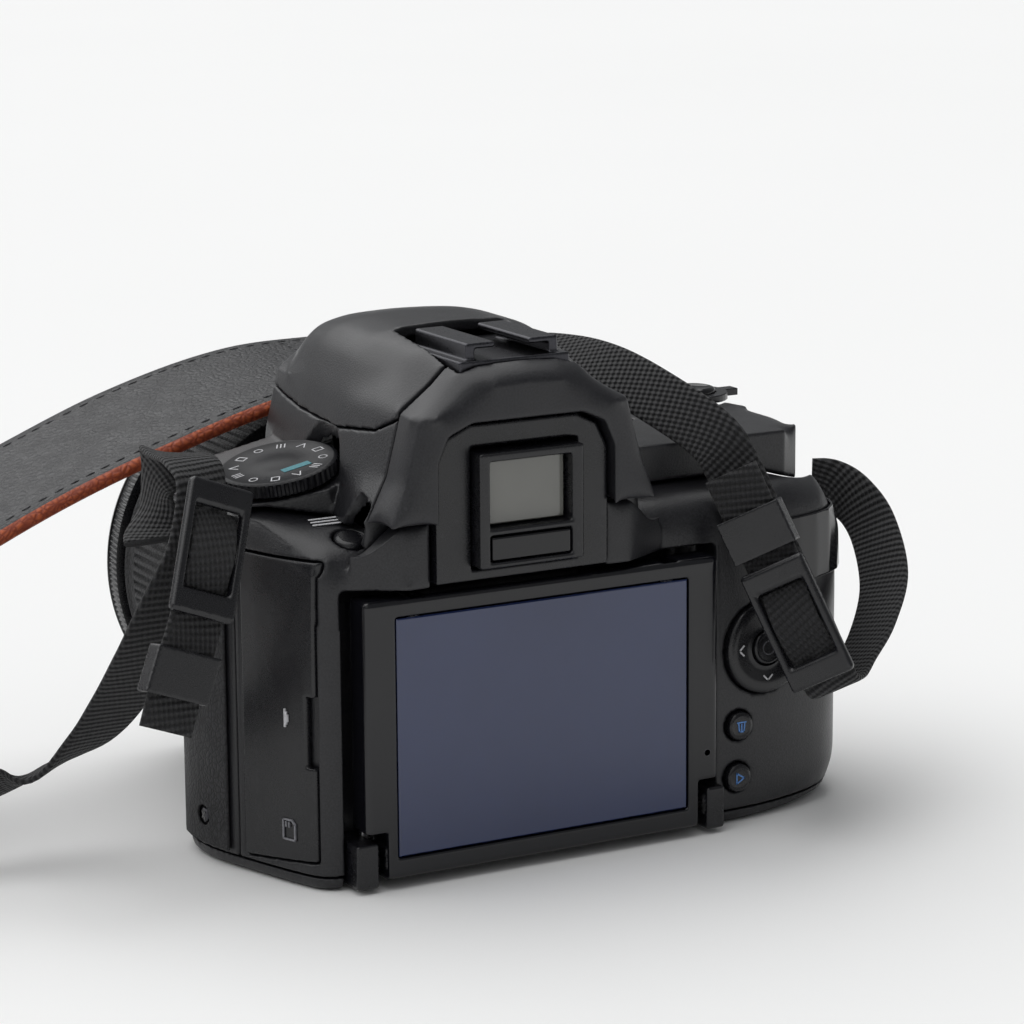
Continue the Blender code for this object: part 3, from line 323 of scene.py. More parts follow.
BODY = moulded("body_black", (0.0045, 0.0045, 0.0060), (0.030, 0.030, 0.034), 0.36, 3000.0, 0.06, 0.25)
SATIN = moulded("satin_black", (0.003, 0.003, 0.0042), (0.016, 0.016, 0.019), 0.27, 5200.0, 0.012)
# The mode dial's black is satin black made darker and far less reflective: painted shade for the dim
# surroundings its top faces.
SHADED_DIAL_BLACK = moulded("dial_black_painted_shade", (0.003, 0.003, 0.004), (0.012, 0.012, 0.015), 0.36, 5200.0, 0.012)
SHADED_DIAL_BLACK.node_tree.nodes["Principled BSDF"].inputs["Specular IOR Level"].default_value = 0.18
GLOSS = moulded("gloss_black", (0.002, 0.002, 0.003), (0.006, 0.006, 0.008), 0.12, 6000.0, 0.003)
BEZEL = moulded("bezel_black", (0.003, 0.003, 0.0045), (0.010, 0.010, 0.013), 0.17, 5200.0, 0.004)
GRIP = rubber("grip_rubber", (0.004, 0.004, 0.005), (0.018, 0.018, 0.021), 900.0, 0.10)
SOFT = moulded("soft_rubber", (0.006, 0.006, 0.008), (0.026, 0.026, 0.030), 0.42, 2600.0, 0.03)
STEEL = metal("plated_steel", (0.45, 0.45, 0.46), (0.75, 0.75, 0.76), 0.28)
DARK_METAL = metal("black_metal", (0.03, 0.03, 0.034), (0.09, 0.09, 0.10), 0.34)
SCREEN_GLASS = glazing("screen_glass", (0.009, 0.018, 0.070), (0.017, 0.030, 0.098))
EYE_GLASS = glazing("eye_glass", (0.11, 0.11, 0.10), (0.20, 0.20, 0.18))
LENS_GLASS = glazing("lens_glass", (0.006, 0.004, 0.014), (0.018, 0.010, 0.034), 0.02)
SENSOR = glazing("sensor_dark", (0.012, 0.004, 0.008), (0.030, 0.010, 0.018))
MIRROR = metal("silvered", (0.85, 0.85, 0.86), (0.93, 0.93, 0.94), 0.05)
WEBBING = woven("strap_weave")
LEATHER = hide("strap_leather", (0.004, 0.004, 0.005), (0.026, 0.026, 0.030), 0.42)
PIPING = hide("strap_edge", (0.22, 0.035, 0.012), (0.62, 0.14, 0.04), 0.6)
THREAD = hide("strap_thread", (0.03, 0.03, 0.033), (0.14, 0.14, 0.145), 0.7)
WHITE = ink("ink_white", (0.62, 0.62, 0.64))
GREY = ink("ink_grey", (0.22, 0.22, 0.24))
BLUE = ink("ink_blue", (0.10, 0.26, 0.62))
TEAL = ink("ink_teal", (0.03, 0.20, 0.24))


# Building blocks

def finished(name, bm, material, body, *nodes, smooth=True, slot=None):
    """Make an object of a bmesh in millimetres that rides on a body and stands for CAD nodes."""
    bmesh.ops.recalc_face_normals(bm, faces=bm.faces)
    for vert in bm.verts:
        vert.co = at(vert.co)
    for face in bm.faces:
        face.smooth = smooth
    mesh = bpy.data.meshes.new(name)
    bm.to_mesh(mesh)
    bm.free()
    obj = bpy.data.objects.new(name, mesh)
    bpy.context.scene.collection.objects.link(obj)
    for mat in material if isinstance(material, (list, tuple)) else [material]:
        mesh.materials.append(mat)
    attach(obj, body)
    if nodes:
        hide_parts(*nodes)
    return obj


def settle(obj):
    """Keep an object's evaluated mesh in place of its modifiers."""
    bpy.context.view_layer.update()
    shaped = obj.evaluated_get(bpy.context.evaluated_depsgraph_get())
    mesh = bpy.data.meshes.new_from_object(shaped)
    obj.modifiers.clear()
    obj.data = mesh
    mesh.shade_smooth()
    return obj


def blended(spot):
    """True where the real surface runs on with no edge: under the hood's feet and on the right deck."""
    x, y, z = Vector(spot) / MM + FOOT
    if 17.0 < abs(x) < 38 and y < 7 and 55.6 < z < 68:
        return True
    by_shutter = math.hypot(x - SHUTTER.x, y - SHUTTER.y) < 8.0
    by_drive = math.hypot(x - DRIVE.x, y - DRIVE.y) < 4.5
    by_switch = 35 < x < 49 and 37 < y < 45
    return x > 26 and 67.5 < z < 73 and not (by_shutter or by_drive or by_switch)


def crisp_spots(bm):
    """Points along the edges that are meant to be sharp, half a millimetre apart."""
    spots = []
    for edge in bm.edges:
        if all(blended(vert.co) for vert in edge.verts):
            continue
        if len(edge.link_faces) == 2 and edge.calc_face_angle() > SHARP_CAD_EDGE:
            start, end = (vert.co for vert in edge.verts)
            steps = max(1, math.ceil((end - start).length / (0.5 * MM)))
            spots.extend(start.lerp(end, i / steps) for i in range(steps + 1))
    return spots


def even_out(obj, spots, rounds, reach=2.2):
    """Blend the broad facets into one curved skin and leave the crisp edges alone."""
    tree = KDTree(len(spots))
    for i, spot in enumerate(spots):
        tree.insert(spot, i)
    tree.balance()
    group = obj.vertex_groups.new(name="broad")
    levels = [[] for _ in range(11)]
    for vert in obj.data.vertices:
        gap = tree.find(vert.co)[2] / MM
        levels[round(min(max((gap - 0.5) / reach, 0.0), 1.0) * 10)].append(vert.index)
    for level, indices in enumerate(levels):
        group.add(indices, level / 10, "REPLACE")
    smooth = obj.modifiers.new("Even", "SMOOTH")
    smooth.factor = 0.5
    smooth.iterations = rounds
    smooth.vertex_group = group.name


def refined(node, material, voxel, rounds=6, keep=1.0, even=0):
    """A CAD node again with softly rounded edges and an even skin, as it leaves the mould."""
    bm = bmesh.new()
    bm.from_mesh(frame["nodes"][node].data)
    bmesh.ops.remove_doubles(bm, verts=bm.verts, dist=1e-6)
    spots = crisp_spots(bm) if even else []
    mesh = bpy.data.meshes.new(f"{node}_fine")
    bm.to_mesh(mesh)
    bm.free()
    obj = bpy.data.objects.new(f"{node}_fine", mesh)
    bpy.context.scene.collection.objects.link(obj)
    remesh = obj.modifiers.new("Remesh", "REMESH")
    remesh.mode = "VOXEL"
    remesh.voxel_size = voxel * MM
    smooth = obj.modifiers.new("Smooth", "SMOOTH")
    smooth.factor = 0.5
    smooth.iterations = rounds
    if spots:
        settle(obj)
        even_out(obj, spots, even)
    if keep < 1.0:
        fewer = obj.modifiers.new("Decimate", "DECIMATE")
        fewer.ratio = keep
    settle(obj)
    obj.data.materials.clear()
    obj.data.materials.append(material)
    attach(obj, BODY_OF[node])
    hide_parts(node)
    return obj


def turned(name, material, profile, centre, axis, body, *nodes, sides=96, ribs=0, depth=0.0, ribbed=()):
    """A turned piece whose listed rings can carry ribs. Profile points are (radius, height)."""
    bm = bmesh.new()
    axis = Vector(axis).normalized()
    turn = axis.to_track_quat("Z", "Y").to_matrix()
    rings = []
    for k, (radius, height) in enumerate(profile):
        if radius == 0:
            rings.append([bm.verts.new(Vector(centre) + axis * height)])
            continue
        ring = []
        for i in range(sides):
            angle = 2 * math.pi * i / sides
            reach = radius
            if k in ribbed:
                reach -= depth * (0.5 - 0.5 * math.tanh(2.5 * math.cos(ribs * angle)))
            spot = Vector((reach * math.cos(angle), reach * math.sin(angle), height))
            ring.append(bm.verts.new(Vector(centre) + turn @ spot))
        rings.append(ring)
    pairs = list(zip(rings, rings[1:]))
    if profile[0][0] > 0 and profile[-1][0] > 0:
        pairs.append((rings[-1], rings[0]))
    for low, high in pairs:
        for i in range(sides):
            j = (i + 1) % sides
            corners = [low[i % len(low)], low[j % len(low)], high[j % len(high)], high[i % len(high)]]
            bm.faces.new(list(dict.fromkeys(corners)))
    obj = finished(name, bm, material, body, *nodes)
    obj.data.set_sharp_from_angle(angle=SHARP_TURNED_EDGE)
    return obj


def smooth_path(points, per_span):
    """Points of an open Catmull-Rom curve through the given ones."""
    ends = [points[0] * 2 - points[1], *points, points[-1] * 2 - points[-2]]
    spots = []
    for a, b, c, d in zip(ends, ends[1:], ends[2:], ends[3:]):
        for k in range(per_span):
            t = k / per_span
            spots.append(0.5 * (2 * b + (c - a) * t + (2 * a - 5 * b + 4 * c - d) * t * t
                                + (3 * b - a - 3 * c + d) * t ** 3))
    return [*spots, points[-1]]


def route_frames(stations, per_span):
    """Centre, width direction and face direction at every step of a ribbon's route."""
    spots = smooth_path([Vector(point) for point, _ in stations], per_span)
    sides = smooth_path([Vector(side).normalized() for _, side in stations], per_span)
    frames = []
    for i, spot in enumerate(spots):
        run = (spots[min(i + 1, len(spots) - 1)] - spots[max(i - 1, 0)]).normalized()
        side = (sides[i] - run * sides[i].dot(run)).normalized()
        frames.append((spot, side, run.cross(side)))
    return frames


def ribbon(name, materials, stations, width, thick, per_span, section, *nodes, edge_from=2.0):
    """Flat webbing or a padded band, with its lengths in millimetres as UVs for the weave."""
    frames = route_frames(stations, per_span)
    bm = bmesh.new()
    uv = bm.loops.layers.uv.new("UVMap")
    rows, lengths, total = [], [], 0.0
    for i, (spot, side, face) in enumerate(frames):
        total += (spot - frames[i - 1][0]).length if i else 0.0
        lengths.append(total)
        rows.append([bm.verts.new(spot + side * (a * width / 2) + face * (b * thick / 2))
                     for a, b in section])
    count = len(section)
    for k, (low, high) in enumerate(zip(rows, rows[1:])):
        for i in range(count):
            j = (i + 1) % count
            skin = bm.faces.new((low[i], low[j], high[j], high[i]))
            skin.material_index = int(min(abs(section[i][0]), abs(section[j][0])) > edge_from)
            places = ((i, k), (j, k), (j, k + 1), (i, k + 1))
            for loop, (across, along) in zip(skin.loops, places):
                loop[uv].uv = (section[across][0] * width / 2 + 20, lengths[along])
    bm.faces.new(rows[0][::-1])
    bm.faces.new(rows[-1])
    return finished(name, bm, materials, "body", *nodes, slot="strap_fabric")


def stadium(steps, crown=1.0, rim=0.55):
    """A ribbon's section: flat faces and rounded edges, as (across, up) between -1 and 1."""
    top = []
    for i in range(steps + 1):
        a = -0.94 + 1.88 * i / steps
        top.append((a, crown if abs(a) < 0.9 else rim + (crown - rim) * 0.6))
    edge = [(1.0, rim * 0.5), (1.0, -rim * 0.5)]
    return [*top, *edge, *[(-a, -b) for a, b in top], *[(-a, -b) for a, b in edge]]


def bar_marks(name, material, body, centre, across, up, strokes, width=0.35, lift=0.03):
    """Printed lines: each stroke is a chain of (across, up) points drawn as a thin raised strip."""
    bm = bmesh.new()
    centre, across, up = Vector(centre), Vector(across).normalized(), Vector(up).normalized()
    out = across.cross(up)
    for stroke in strokes:
        for (ax, ay), (bx, by) in zip(stroke, stroke[1:]):
            start, end = Vector((ax, ay)), Vector((bx, by))
            run = (end - start).normalized()
            side = Vector((-run.y, run.x)) * width / 2
            start, end = start - run * width / 2, end + run * width / 2
            corners = [start + side, start - side, end - side, end + side]
            rings = [[bm.verts.new(centre + across * c.x + up * c.y + out * h) for c in corners]
                     for h in (lift, -0.05)]
            bm.faces.new(rings[0])
            bm.faces.new(rings[1][::-1])
            for i in range(4):
                j = (i + 1) % 4
                bm.faces.new((rings[0][i], rings[1][i], rings[1][j], rings[0][j]))
    return finished(name, bm, material, body, smooth=False, slot="satin_plastic")


def round_stroke(radius, steps=20, centre=(0.0, 0.0)):
    """A closed ring as a chain of points."""
    spots = []
    for i in range(steps + 1):
        angle = math.radians(360.0 * i / steps)
        spots.append((centre[0] + radius * math.cos(angle), centre[1] + radius * math.sin(angle)))
    return spots


def screw(name, centre, axis, radius, body="body"):
    """A small pan head whose cross recess is painted shade: a dark glossy cross raised on the head."""
    head = [(0, -0.5), (radius, -0.5), (radius, 0.1), (radius * 0.86, 0.42), (radius * 0.5, 0.55),
            (0, 0.58)]
    turned(name, DARK_METAL, head, centre, axis, body, sides=40)
    axis = Vector(axis).normalized()
    across = axis.orthogonal().normalized()
    up = axis.cross(across)
    # Painted shade: dark glossy bars stand in for the shadow in the cross recess.
    cross = [[(-radius * 0.5, 0), (radius * 0.5, 0)], [(0, -radius * 0.5), (0, radius * 0.5)]]
    bar_marks(f"{name}_slot", GLOSS, body, Vector(centre) + axis * 0.58, across, up, cross, 0.35, 0.02)


# The strap

def make_strap():
    """Both webbings with their free ends, sliders and keepers, and the padded neck band."""
    web = stadium(10)
    band = stadium(14, 1.0, 0.8)
    pieces = {"left": [], "right": []}
    for side, stations in TAILS.items():
        tail = ribbon(f"webbing_end_{side}", [WEBBING], stations, WEB_W, WEB_T, WEB_STEPS, web,
                      f"strap_tail_{side}")
        pieces[side].append(tail)
    for side, (centre, across, down) in SLIDERS.items():
        pieces[side].append(refined(f"slider_{side}", SATIN, 0.22, 5))
        pieces[side].append(refined(f"keeper_{side}", SATIN, 0.22, 4))
        pieces[side].append(make_wrap(side, centre, across, down))
    left = ribbon("webbing_left", [WEBBING], LEFT_ROUTE, WEB_W, WEB_T, WEB_STEPS, web,
                  "strap_webbing_left")
    right = ribbon("webbing_right", [WEBBING], RIGHT_ROUTE, WEB_W, WEB_T, WEB_STEPS, web,
                   "strap_webbing_right")
    neck = ribbon("neck_band_leather", [LEATHER, PIPING], BAND_ROUTE, BAND_W, BAND_T, BAND_STEPS, band,
                  "neck_band", edge_from=0.93)
    make_stitches()


def make_wrap(side, centre, across, down):
    """The turn of webbing that shows through the slider's window, over its middle bar."""
    across, down = Vector(across).normalized(), Vector(down).normalized()
    down = (down - across * down.dot(across)).normalized()
    out = across.cross(down)
    reach = SLIDER_L * 0.29
    stations = []
    for step in range(-3, 4):
        t = step / 3
        lift = 0.9 - 1.6 * math.cos(t * math.pi / 2)
        stations.append((Vector(centre) + down * (t * reach) + out * lift, across))
    return ribbon(f"webbing_wrap_{side}", [WEBBING], stations, WEB_W - 1.6, 0.7, 6, stadium(8))


def make_stitches():
    """A row of thread near each edge of the neck band and the cross seams at its ends."""
    frames = route_frames(BAND_ROUTE, 40)
    bm = bmesh.new()
    gone = 0.0
    for (a, side_a, face_a), (b, side_b, face_b) in zip(frames, frames[1:]):
        gone += (b - a).length
        if gone < STITCH_PITCH:
            continue
        gone = 0.0
        run = (b - a).normalized()
        for edge in (-1, 1):
            for face in (-1, 1):
                spot = a + side_a * edge * (BAND_W / 2 - STITCH_INSET) + face_a * face * (BAND_T / 2 + 0.02)
                stitch(bm, spot, run, side_a, face_a * face, 1.0)
    for place in (0.035, 0.965):
        spot, side, face = frames[int(len(frames) * place)]
        for step in range(-5, 6):
            for flip in (-1, 1):
                on = spot + side * step * 2.7 + face * flip * (BAND_T / 2 + 0.02)
                stitch(bm, on, side, side.cross(face), face * flip, 0.95)
    return finished("neck_band_stitching", bm, THREAD, "body", slot="strap_leather")


def stitch(bm, spot, run, side, out, half):
    """One raised stitch, pointed at both ends."""
    rows = []
    for t, wide in ((-1.0, 0.05), (-0.6, 0.26), (0.0, 0.32), (0.6, 0.26), (1.0, 0.05)):
        lift = 0.2 * (1 - t * t)
        rows.append([bm.verts.new(spot + run * t * half + side * wide),
                     bm.verts.new(spot + run * t * half + out * lift),
                     bm.verts.new(spot + run * t * half - side * wide)])
    for low, high in zip(rows, rows[1:]):
        for i in range(3):
            j = (i + 1) % 3
            bm.faces.new((low[i], low[j], high[j], high[i]))
    bm.faces.new(rows[0])
    bm.faces.new(rows[-1][::-1])


# The camera body

# Node: material, voxel in mm, rounds of edge rounding, rounds of evening out
REFINED = {
    "rear_cover": (BODY, 0.42, 5, 160),
    "front_cover": (BODY, 0.45, 5, 120),
    "top_cover": (BODY, 0.36, 5, 260),
    "flash_cover": (BODY, 0.32, 6, 320),
    "base_plate": (BODY, 0.4, 4, 0),
    "eyepiece_hood": (SOFT, 0.3, 14, 320),
    "eyepiece_surround": (SATIN, 0.24, 6, 0),
    "eyepiece_frame": (SATIN, 0.22, 5, 0),
    "hot_shoe": (DARK_METAL, 0.2, 3, 0),
    "lcd_housing": (BEZEL, 0.28, 5, 0),
    "lcd_bracket": (STEEL, 0.25, 3, 0),
    "hinge_ear_left": (SATIN, 0.2, 4, 0),
    "hinge_ear_right": (SATIN, 0.2, 4, 0),
    "card_door": (SATIN, 0.25, 4, 160),
    "thumb_pad": (GLOSS, 0.14, 5, 200),
    "grip_skin": (GRIP, 0.18, 5, 300),
    "side_skin": (GRIP, 0.16, 5, 150),
    "eye_sensor": (GLOSS, 0.12, 3, 0),
    "live_view_switch": (SATIN, 0.12, 4, 0),
    "power_lever": (SATIN, 0.12, 3, 0),
    "lug_left": (DARK_METAL, 0.15, 3, 0),
    "lug_right": (DARK_METAL, 0.15, 3, 0),
    "battery_door": (BODY, 0.25, 3, 0),
    "battery_cell": (SATIN, 0.4, 3, 0),
    "memory_card": (SATIN, 0.25, 3, 0),
    "mirror_box": (SATIN, 0.4, 3, 0),
    "shutter_unit": (DARK_METAL, 0.35, 2, 0),
    "image_sensor": (SENSOR, 0.3, 2, 0),
    "reflex_mirror": (MIRROR, 0.2, 1, 0),
    "pentamirror": (MIRROR, 0.4, 2, 0),
    "flash_tube": (LENS_GLASS, 0.15, 3, 0),
    "focus_mode_switch": (SATIN, 0.1, 3, 0),
    "tripod_socket": (STEEL, 0.2, 2, 0),
}


def slope_feet(cover):
    """Let the rear cover fall away on both sides of the hood's feet, down to the shoulders."""
    for vert in cover.data.vertices:
        x, y, z = vert.co / MM + FOOT
        if abs(x) < 20.0 or y > 4.7 or z < 60.0:
            continue
        fall = min(max((abs(x) - SLOPE_START) / SLOPE_RUN, 0.0), 1.0)
        top = SLOPE_TOP - SLOPE_DROP * fall * fall * (3 - 2 * fall)
        vert.co.z = min(vert.co.z, top * MM)


def make_casing():
    """The moulded and plated pieces, the side screw and the base screws."""
    for node, (material, voxel, rounds, even) in REFINED.items():
        piece = refined(node, material, voxel, rounds, 0.5 if voxel < 0.3 else 0.7, even)
        if node == "rear_cover":
            slope_feet(piece)
    screw("side_screw", (-46.7, 33.4, 8.6), (-1, 0.02, 0), 1.5)
    for number, (x, y) in enumerate(((-38, 14), (-40, 40), (74, 20), (76, 44), (30, 42))):
        screw(f"base_screw_{number}", (x, y, 0.55), (0, 0, -1), 1.4)


def make_glass():
    """The panes of the screen and the eyepiece, with bevelled rims, and the domed front element."""
    panes = (
        ("screen_glass_pane", "lcd_window", "screen_panel", SCREEN_GLASS, SCREEN_PANE, 0.5),
        ("eyepiece_glass_pane", "eyepiece_window", "body", EYE_GLASS, EYE_PANE, 0.6),
    )
    for name, node, body, material, (x0, x1, z0, z1, y0, y1), back_inset in panes:
        bm = bmesh.new()
        loops = []
        for y, inset in ((y1, back_inset), (y1, 0), (y0 + 0.25, 0), (y0, 0.25), (y0, 1.2)):
            left, right, low, high = x0 + inset, x1 - inset, z0 + inset, z1 - inset
            corners = ((left, low), (right, low), (right, high), (left, high))
            loops.append([bm.verts.new((x, y, z)) for x, z in corners])
        for low, high in zip(loops, loops[1:]):
            for i in range(4):
                j = (i + 1) % 4
                bm.faces.new((low[i], low[j], high[j], high[i]))
        bm.faces.new(loops[0][::-1])
        bm.faces.new(loops[-1])
        finished(name, bm, material, body, node, smooth=False)
    front = [(0, 97.0), (24.6, 97.0), (24.6, 99.0), (21.5, 100.1), (18, 101.1), (13.5, 101.9),
             (9, 102.4), (4.5, 102.7), (0, 102.8)]
    turned("front_glass", LENS_GLASS, front, (0, 0, LENS_Z), Y, "zoom_tube", "front_element", sides=96)


def button(node, material, radius, depth, centre, axis, edge, dish=0.18):
    """A round key with a rounded rim and a slightly dished face."""
    profile = [(0, 0), (radius, 0), (radius, depth - edge), (radius - edge * 0.12, depth - edge * 0.5),
               (radius - edge * 0.45, depth - edge * 0.14), (radius - edge, depth),
               (radius * 0.72, depth - dish * 0.5), (radius * 0.4, depth - dish * 0.9),
               (0, depth - dish)]
    return turned(f"{node}_cap", material, profile, centre, axis, BODY_OF[node], node, sides=72)


def make_controls():
    """Round keys, the control pad's ring, the grip dial and the mode dial."""
    button("enter_button", SATIN, 3.2, 2.6, (PAD.x, 5.2, PAD.z), -Y, 0.6)
    button("delete_button", SATIN, 2.7, 2.6, (DELETE_X, 5.6, DELETE_Z), -Y, 0.7, 0.05)
    button("playback_button", SATIN, 2.7, 2.6, (PLAYBACK_X, 5.6, PLAYBACK_Z), -Y, 0.7, 0.05)
    button("menu_button", SATIN, 2.9, 3.2, MENU - MENU_SLOPE * 2.5, MENU_SLOPE, 0.9, 0.0)
    button("drive_button", SATIN, 2.8, 3.0, DRIVE, Z, 0.5)
    button("shutter_button", GLOSS, 4.4, 4.2, (SHUTTER.x, SHUTTER.y, 70.2), Z, 0.8, 0.5)
    button("lens_release", SATIN, 4.3, 4.4, RELEASE, Y, 0.7)
    pad = [(8.8, 0), (8.8, -1.7), (8.6, -2.1), (8.0, -2.4), (6.4, -2.3), (4.6, -2.1), (3.9, -2.2),
           (3.6, -2.3), (3.6, 0)]
    turned("control_pad_ring", SATIN, pad, (PAD.x, 5.4, PAD.z), Y, "control_pad", "control_pad",
           sides=96)
    wheel = [(0, -4.0), (4.9, -4.0), (5.2, -3.7), (5.2, 3.7), (4.9, 4.0), (0, 4.0)]
    turned("grip_dial_wheel", SATIN, wheel, GRIP_DIAL, X, "grip_dial", "grip_dial", sides=216, ribs=36,
           depth=0.5, ribbed=(2, 3))
    dial = [(0, -2.6), (DIAL_R - 0.3, -2.6), (DIAL_R, -2.3), (DIAL_R, -0.6), (DIAL_R - 0.25, -0.25),
            (DIAL_R - 0.7, 0), (DIAL_R - 1.0, 0), (DIAL_R - 1.2, -0.12), (3.4, -0.12), (3.1, 0.0),
            (0, 0.0)]
    # The wheel wears the dial black with its painted shade.
    turned("mode_dial_wheel", SHADED_DIAL_BLACK, dial, DIAL_TOP, DIAL_AXIS, "mode_dial", "mode_dial", sides=288,
           ribs=48, depth=0.45, ribbed=(2, 3))


def make_lens():
    """The turned rings of the lens, as profiles of (radius, distance from the screen face)."""
    base = (0, 0, LENS_Z)
    grip = [(31.5, 76.0), (32.2, 76.1), (33.4, 76.6), (33.9, 77.4), (34.2, 78.2), (34.2, 94.6),
            (33.9, 95.2), (33.6, 95.4), (33.6, 98.4), (33.9, 98.9), (33.9, 99.6), (33.2, 99.9),
            (28.9, 99.9), (28.9, 75.2), (31.0, 75.2)]
    turned("zoom_ring_grip", GRIP, grip, base, Y, "zoom_ring", "zoom_ring", sides=720, ribs=120,
           depth=0.7, ribbed=(4, 5))
    front = [(33.6, 101.3), (34.8, 101.7), (35.0, 102.0), (35.0, 104.9), (34.7, 105.2), (34.7, 105.5),
             (35.0, 105.8), (34.8, 106.5), (34.2, 107.0), (31.6, 107.0), (31.2, 106.8), (30.0, 103.4),
             (25.6, 103.4), (25.6, 101.6), (32.4, 101.25)]
    turned("focus_ring_grip", SATIN, front, base, Y, "focus_ring", "focus_ring", sides=800, ribs=200,
           depth=0.35, ribbed=(2, 3))
    inner = [(27.1, 72.0), (27.1, 100.2), (31.9, 100.2), (32.0, 100.3), (32.0, 100.8), (31.6, 100.95),
             (25.2, 101.3), (25.0, 101.2), (25.0, 72.0)]
    turned("zoom_tube_sleeve", SATIN, inner, base, Y, "zoom_tube", "inner_barrel", sides=160)
    barrel = [(24.4, 51.0), (24.4, 56.9), (30.7, 56.9), (31.0, 57.2), (31.0, 61.6), (30.75, 61.8),
              (30.75, 62.2), (31.0, 62.4), (31.0, 73.6), (30.7, 74.0), (28.6, 74.6), (28.6, 96.0),
              (27.4, 96.0), (27.4, 59.6), (21.0, 59.6), (21.0, 51.0)]
    turned("lens_barrel_shell", SATIN, barrel, base, Y, "body", "lens_barrel", sides=160)
    mount = [(30.0, 55.3), (30.0, 56.5), (29.8, 56.7), (25.1, 56.7), (24.9, 56.5), (24.9, 55.3)]
    turned("lens_mount_ring", STEEL, mount, base, Y, "body", "lens_mount", sides=128)


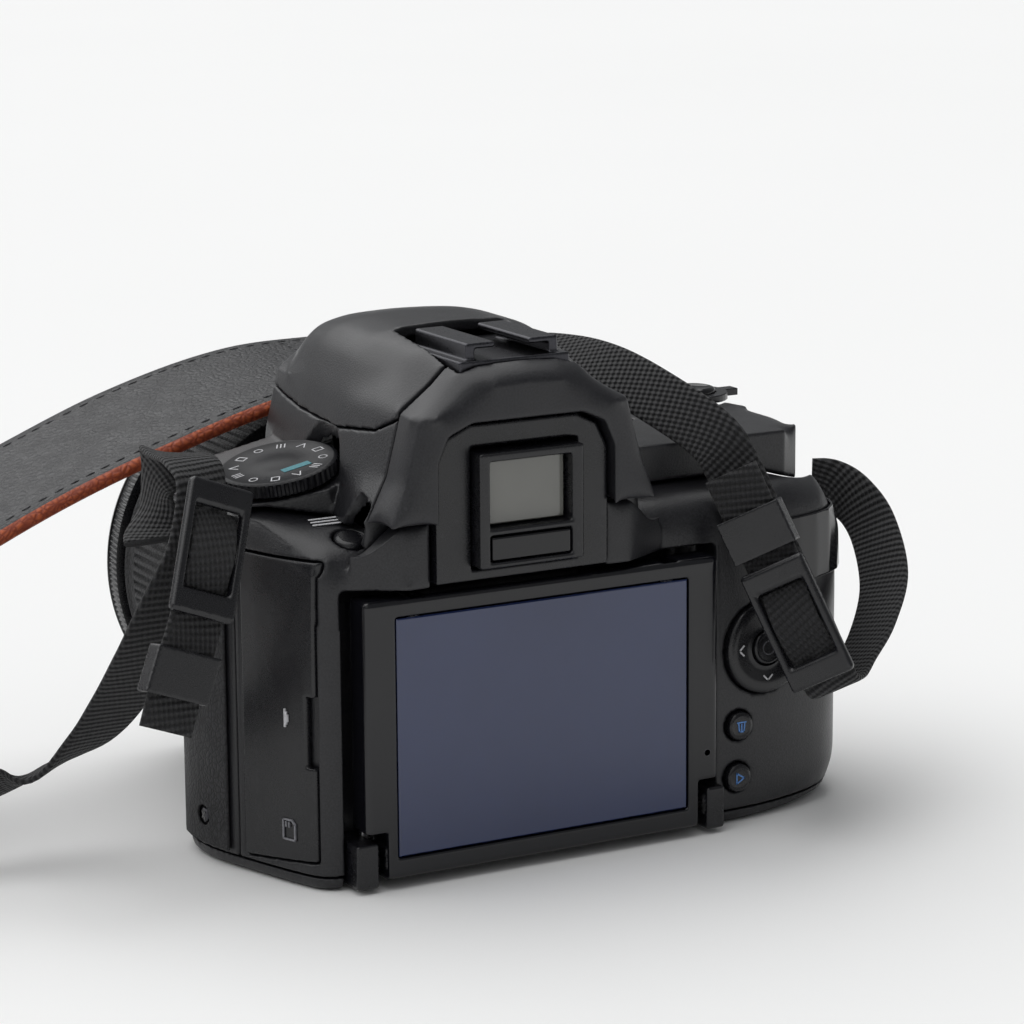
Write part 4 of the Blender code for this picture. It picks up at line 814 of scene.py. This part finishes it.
def make_marks():
    """Plain symbols in place of the maker's printing: bars, rings, arrows and dots."""
    x, z = PAD.x, PAD.z
    face = (x, 3.05, z)
    arrows = []
    for angle in (0, 90, 180, 270):
        turn = Matrix.Rotation(math.radians(angle), 2)
        arrows.append([tuple(turn @ Vector(p)) for p in ((5.4, 0.9), (6.3, 0.0), (5.4, -0.9))])
    bar_marks("pad_arrows", WHITE, "control_pad", face, X, Z, arrows, 0.3)
    bar_marks("enter_mark", GREY, "enter_button", (x, 2.78, z), X, Z, [round_stroke(1.3)], 0.22)
    bin_mark = [[(-0.9, 0.8), (0.9, 0.8)], [(-0.65, 0.5), (-0.5, -1.0), (0.5, -1.0), (0.65, 0.5)],
                [(0.0, 0.4), (0.0, -0.7)]]
    bar_marks("delete_mark", BLUE, "delete_button", (DELETE_X, 2.98, DELETE_Z), X, Z, bin_mark, 0.26)
    play_mark = [[(-0.7, 1.0), (0.9, 0.0), (-0.7, -1.0), (-0.7, 1.0)]]
    bar_marks("playback_mark", BLUE, "playback_button", (PLAYBACK_X, 2.98, PLAYBACK_Z), X, Z, play_mark, 0.28)
    dot = [round_stroke(0.3, steps=12)]
    bar_marks("bezel_dot", GREY, "screen_panel", (39.6, -0.03, 16.0), X, Z, dot, 0.55)
    menu_bars = [[(-2.6, 0.9), (2.6, 0.9)], [(-2.6, 0.0), (2.6, 0.0)], [(-2.6, -0.9), (2.6, -0.9)]]
    bar_marks("menu_mark", WHITE, "body", (-30.4, 15.4, 64.75), X, (0, 0.932, 0.361), menu_bars, 0.36,
              0.06)
    open_mark = [[(-0.5, 1.5), (-0.5, -1.5)], [(-0.2, 1.0), (-0.2, -1.0)], [(0.1, 0.5), (0.1, -0.5)]]
    door_run = (0.37, -0.93, 0)
    bar_marks("door_mark", WHITE, "card_door", (-40.15, 11.8, 31.0), door_run, Z, open_mark, 0.35, 0.25)
    card_mark = [[(-1.4, -1.8), (-1.4, 1.8), (0.7, 1.8), (1.4, 1.1), (1.4, -1.8), (-1.4, -1.8)],
                 [(-0.7, 0.6), (-0.7, 1.3)], [(0.0, 0.6), (0.0, 1.3)]]
    bar_marks("card_mark", GREY, "card_door", (-40.15, 11.8, 10.5), door_run, Z, card_mark, 0.3, 0.25)
    up = Y.cross(DIAL_AXIS).normalized()
    side = DIAL_AXIS.cross(up)
    glyphs = []
    for number in range(12):
        turn = Matrix.Rotation(math.radians(30 * number), 2)
        shapes = (
            [round_stroke(0.75, steps=12, centre=(8.1, 0.0))],
            [[(7.3, -0.7), (8.9, -0.7)], [(7.3, 0.0), (8.9, 0.0)], [(7.3, 0.7), (8.9, 0.7)]],
            [[(7.3, -0.8), (8.9, 0.0), (7.3, 0.8)]],
            [[(7.2, -0.7), (7.2, 0.7), (8.9, 0.7), (8.9, -0.7), (7.2, -0.7)]],
        )
        for stroke in shapes[number % 4]:
            glyphs.append([tuple(turn @ Vector(point)) for point in stroke])
    bar_marks("dial_marks", WHITE, "mode_dial", DIAL_TOP - DIAL_AXIS * 0.12, side, up, glyphs, 0.22)
    patch = [[(-4.6, 3.2), (-4.6, -0.6)]]
    bar_marks("dial_patch", TEAL, "mode_dial", DIAL_TOP - DIAL_AXIS * 0.1, side, up, patch, 1.7)


def make_light_and_camera():
    """Pale floor, soft light from above and behind, and the camera."""
    floor_mesh = bmesh.new()
    bmesh.ops.create_grid(floor_mesh, x_segments=8, y_segments=8, size=40.0)
    mesh = bpy.data.meshes.new("floor")
    floor_mesh.to_mesh(mesh)
    floor_mesh.free()
    floor = bpy.data.objects.new("floor", mesh)
    floor.location = (0, 0, -0.0001)
    mesh.materials.append(floor_material())
    bpy.context.scene.collection.objects.link(floor)

    world = bpy.data.worlds.new("studio")
    world.use_nodes = True
    backdrop = world.node_tree.nodes["Background"]
    backdrop.inputs["Color"].default_value = (0.96, 0.98, 1.0, 1.0)
    backdrop.inputs["Strength"].default_value = WORLD_STRENGTH
    bpy.context.scene.world = world
    for name, (place, angle, strength) in SUNS.items():
        lamp = bpy.data.lights.new(name, "SUN")
        lamp.angle = math.radians(angle)
        lamp.energy = strength
        obj = bpy.data.objects.new(name, lamp)
        obj.rotation_mode = "QUATERNION"
        obj.rotation_quaternion = (-Vector(place)).to_track_quat("-Z", "Y")
        bpy.context.scene.collection.objects.link(obj)

    camera = bpy.data.cameras.new("photo_camera")
    camera.lens = LENS
    camera.sensor_width = 36.0
    eye = bpy.data.objects.new("photo_camera", camera)
    forward = LOOK.normalized()
    right = forward.cross(Z).normalized()
    up = right.cross(forward)
    across = right * math.cos(ROLL) + up * math.sin(ROLL)
    upright = up * math.cos(ROLL) - right * math.sin(ROLL)
    axes = Matrix((across, upright, -forward)).transposed()
    eye.matrix_world = Matrix.Translation(EYE) @ axes.to_4x4()
    bpy.context.scene.collection.objects.link(eye)
    bpy.context.scene.camera = eye
    bpy.context.scene.view_settings.view_transform = "Standard"


make_light_and_camera()
make_strap()
make_casing()
make_glass()
make_controls()
make_lens()
make_marks()
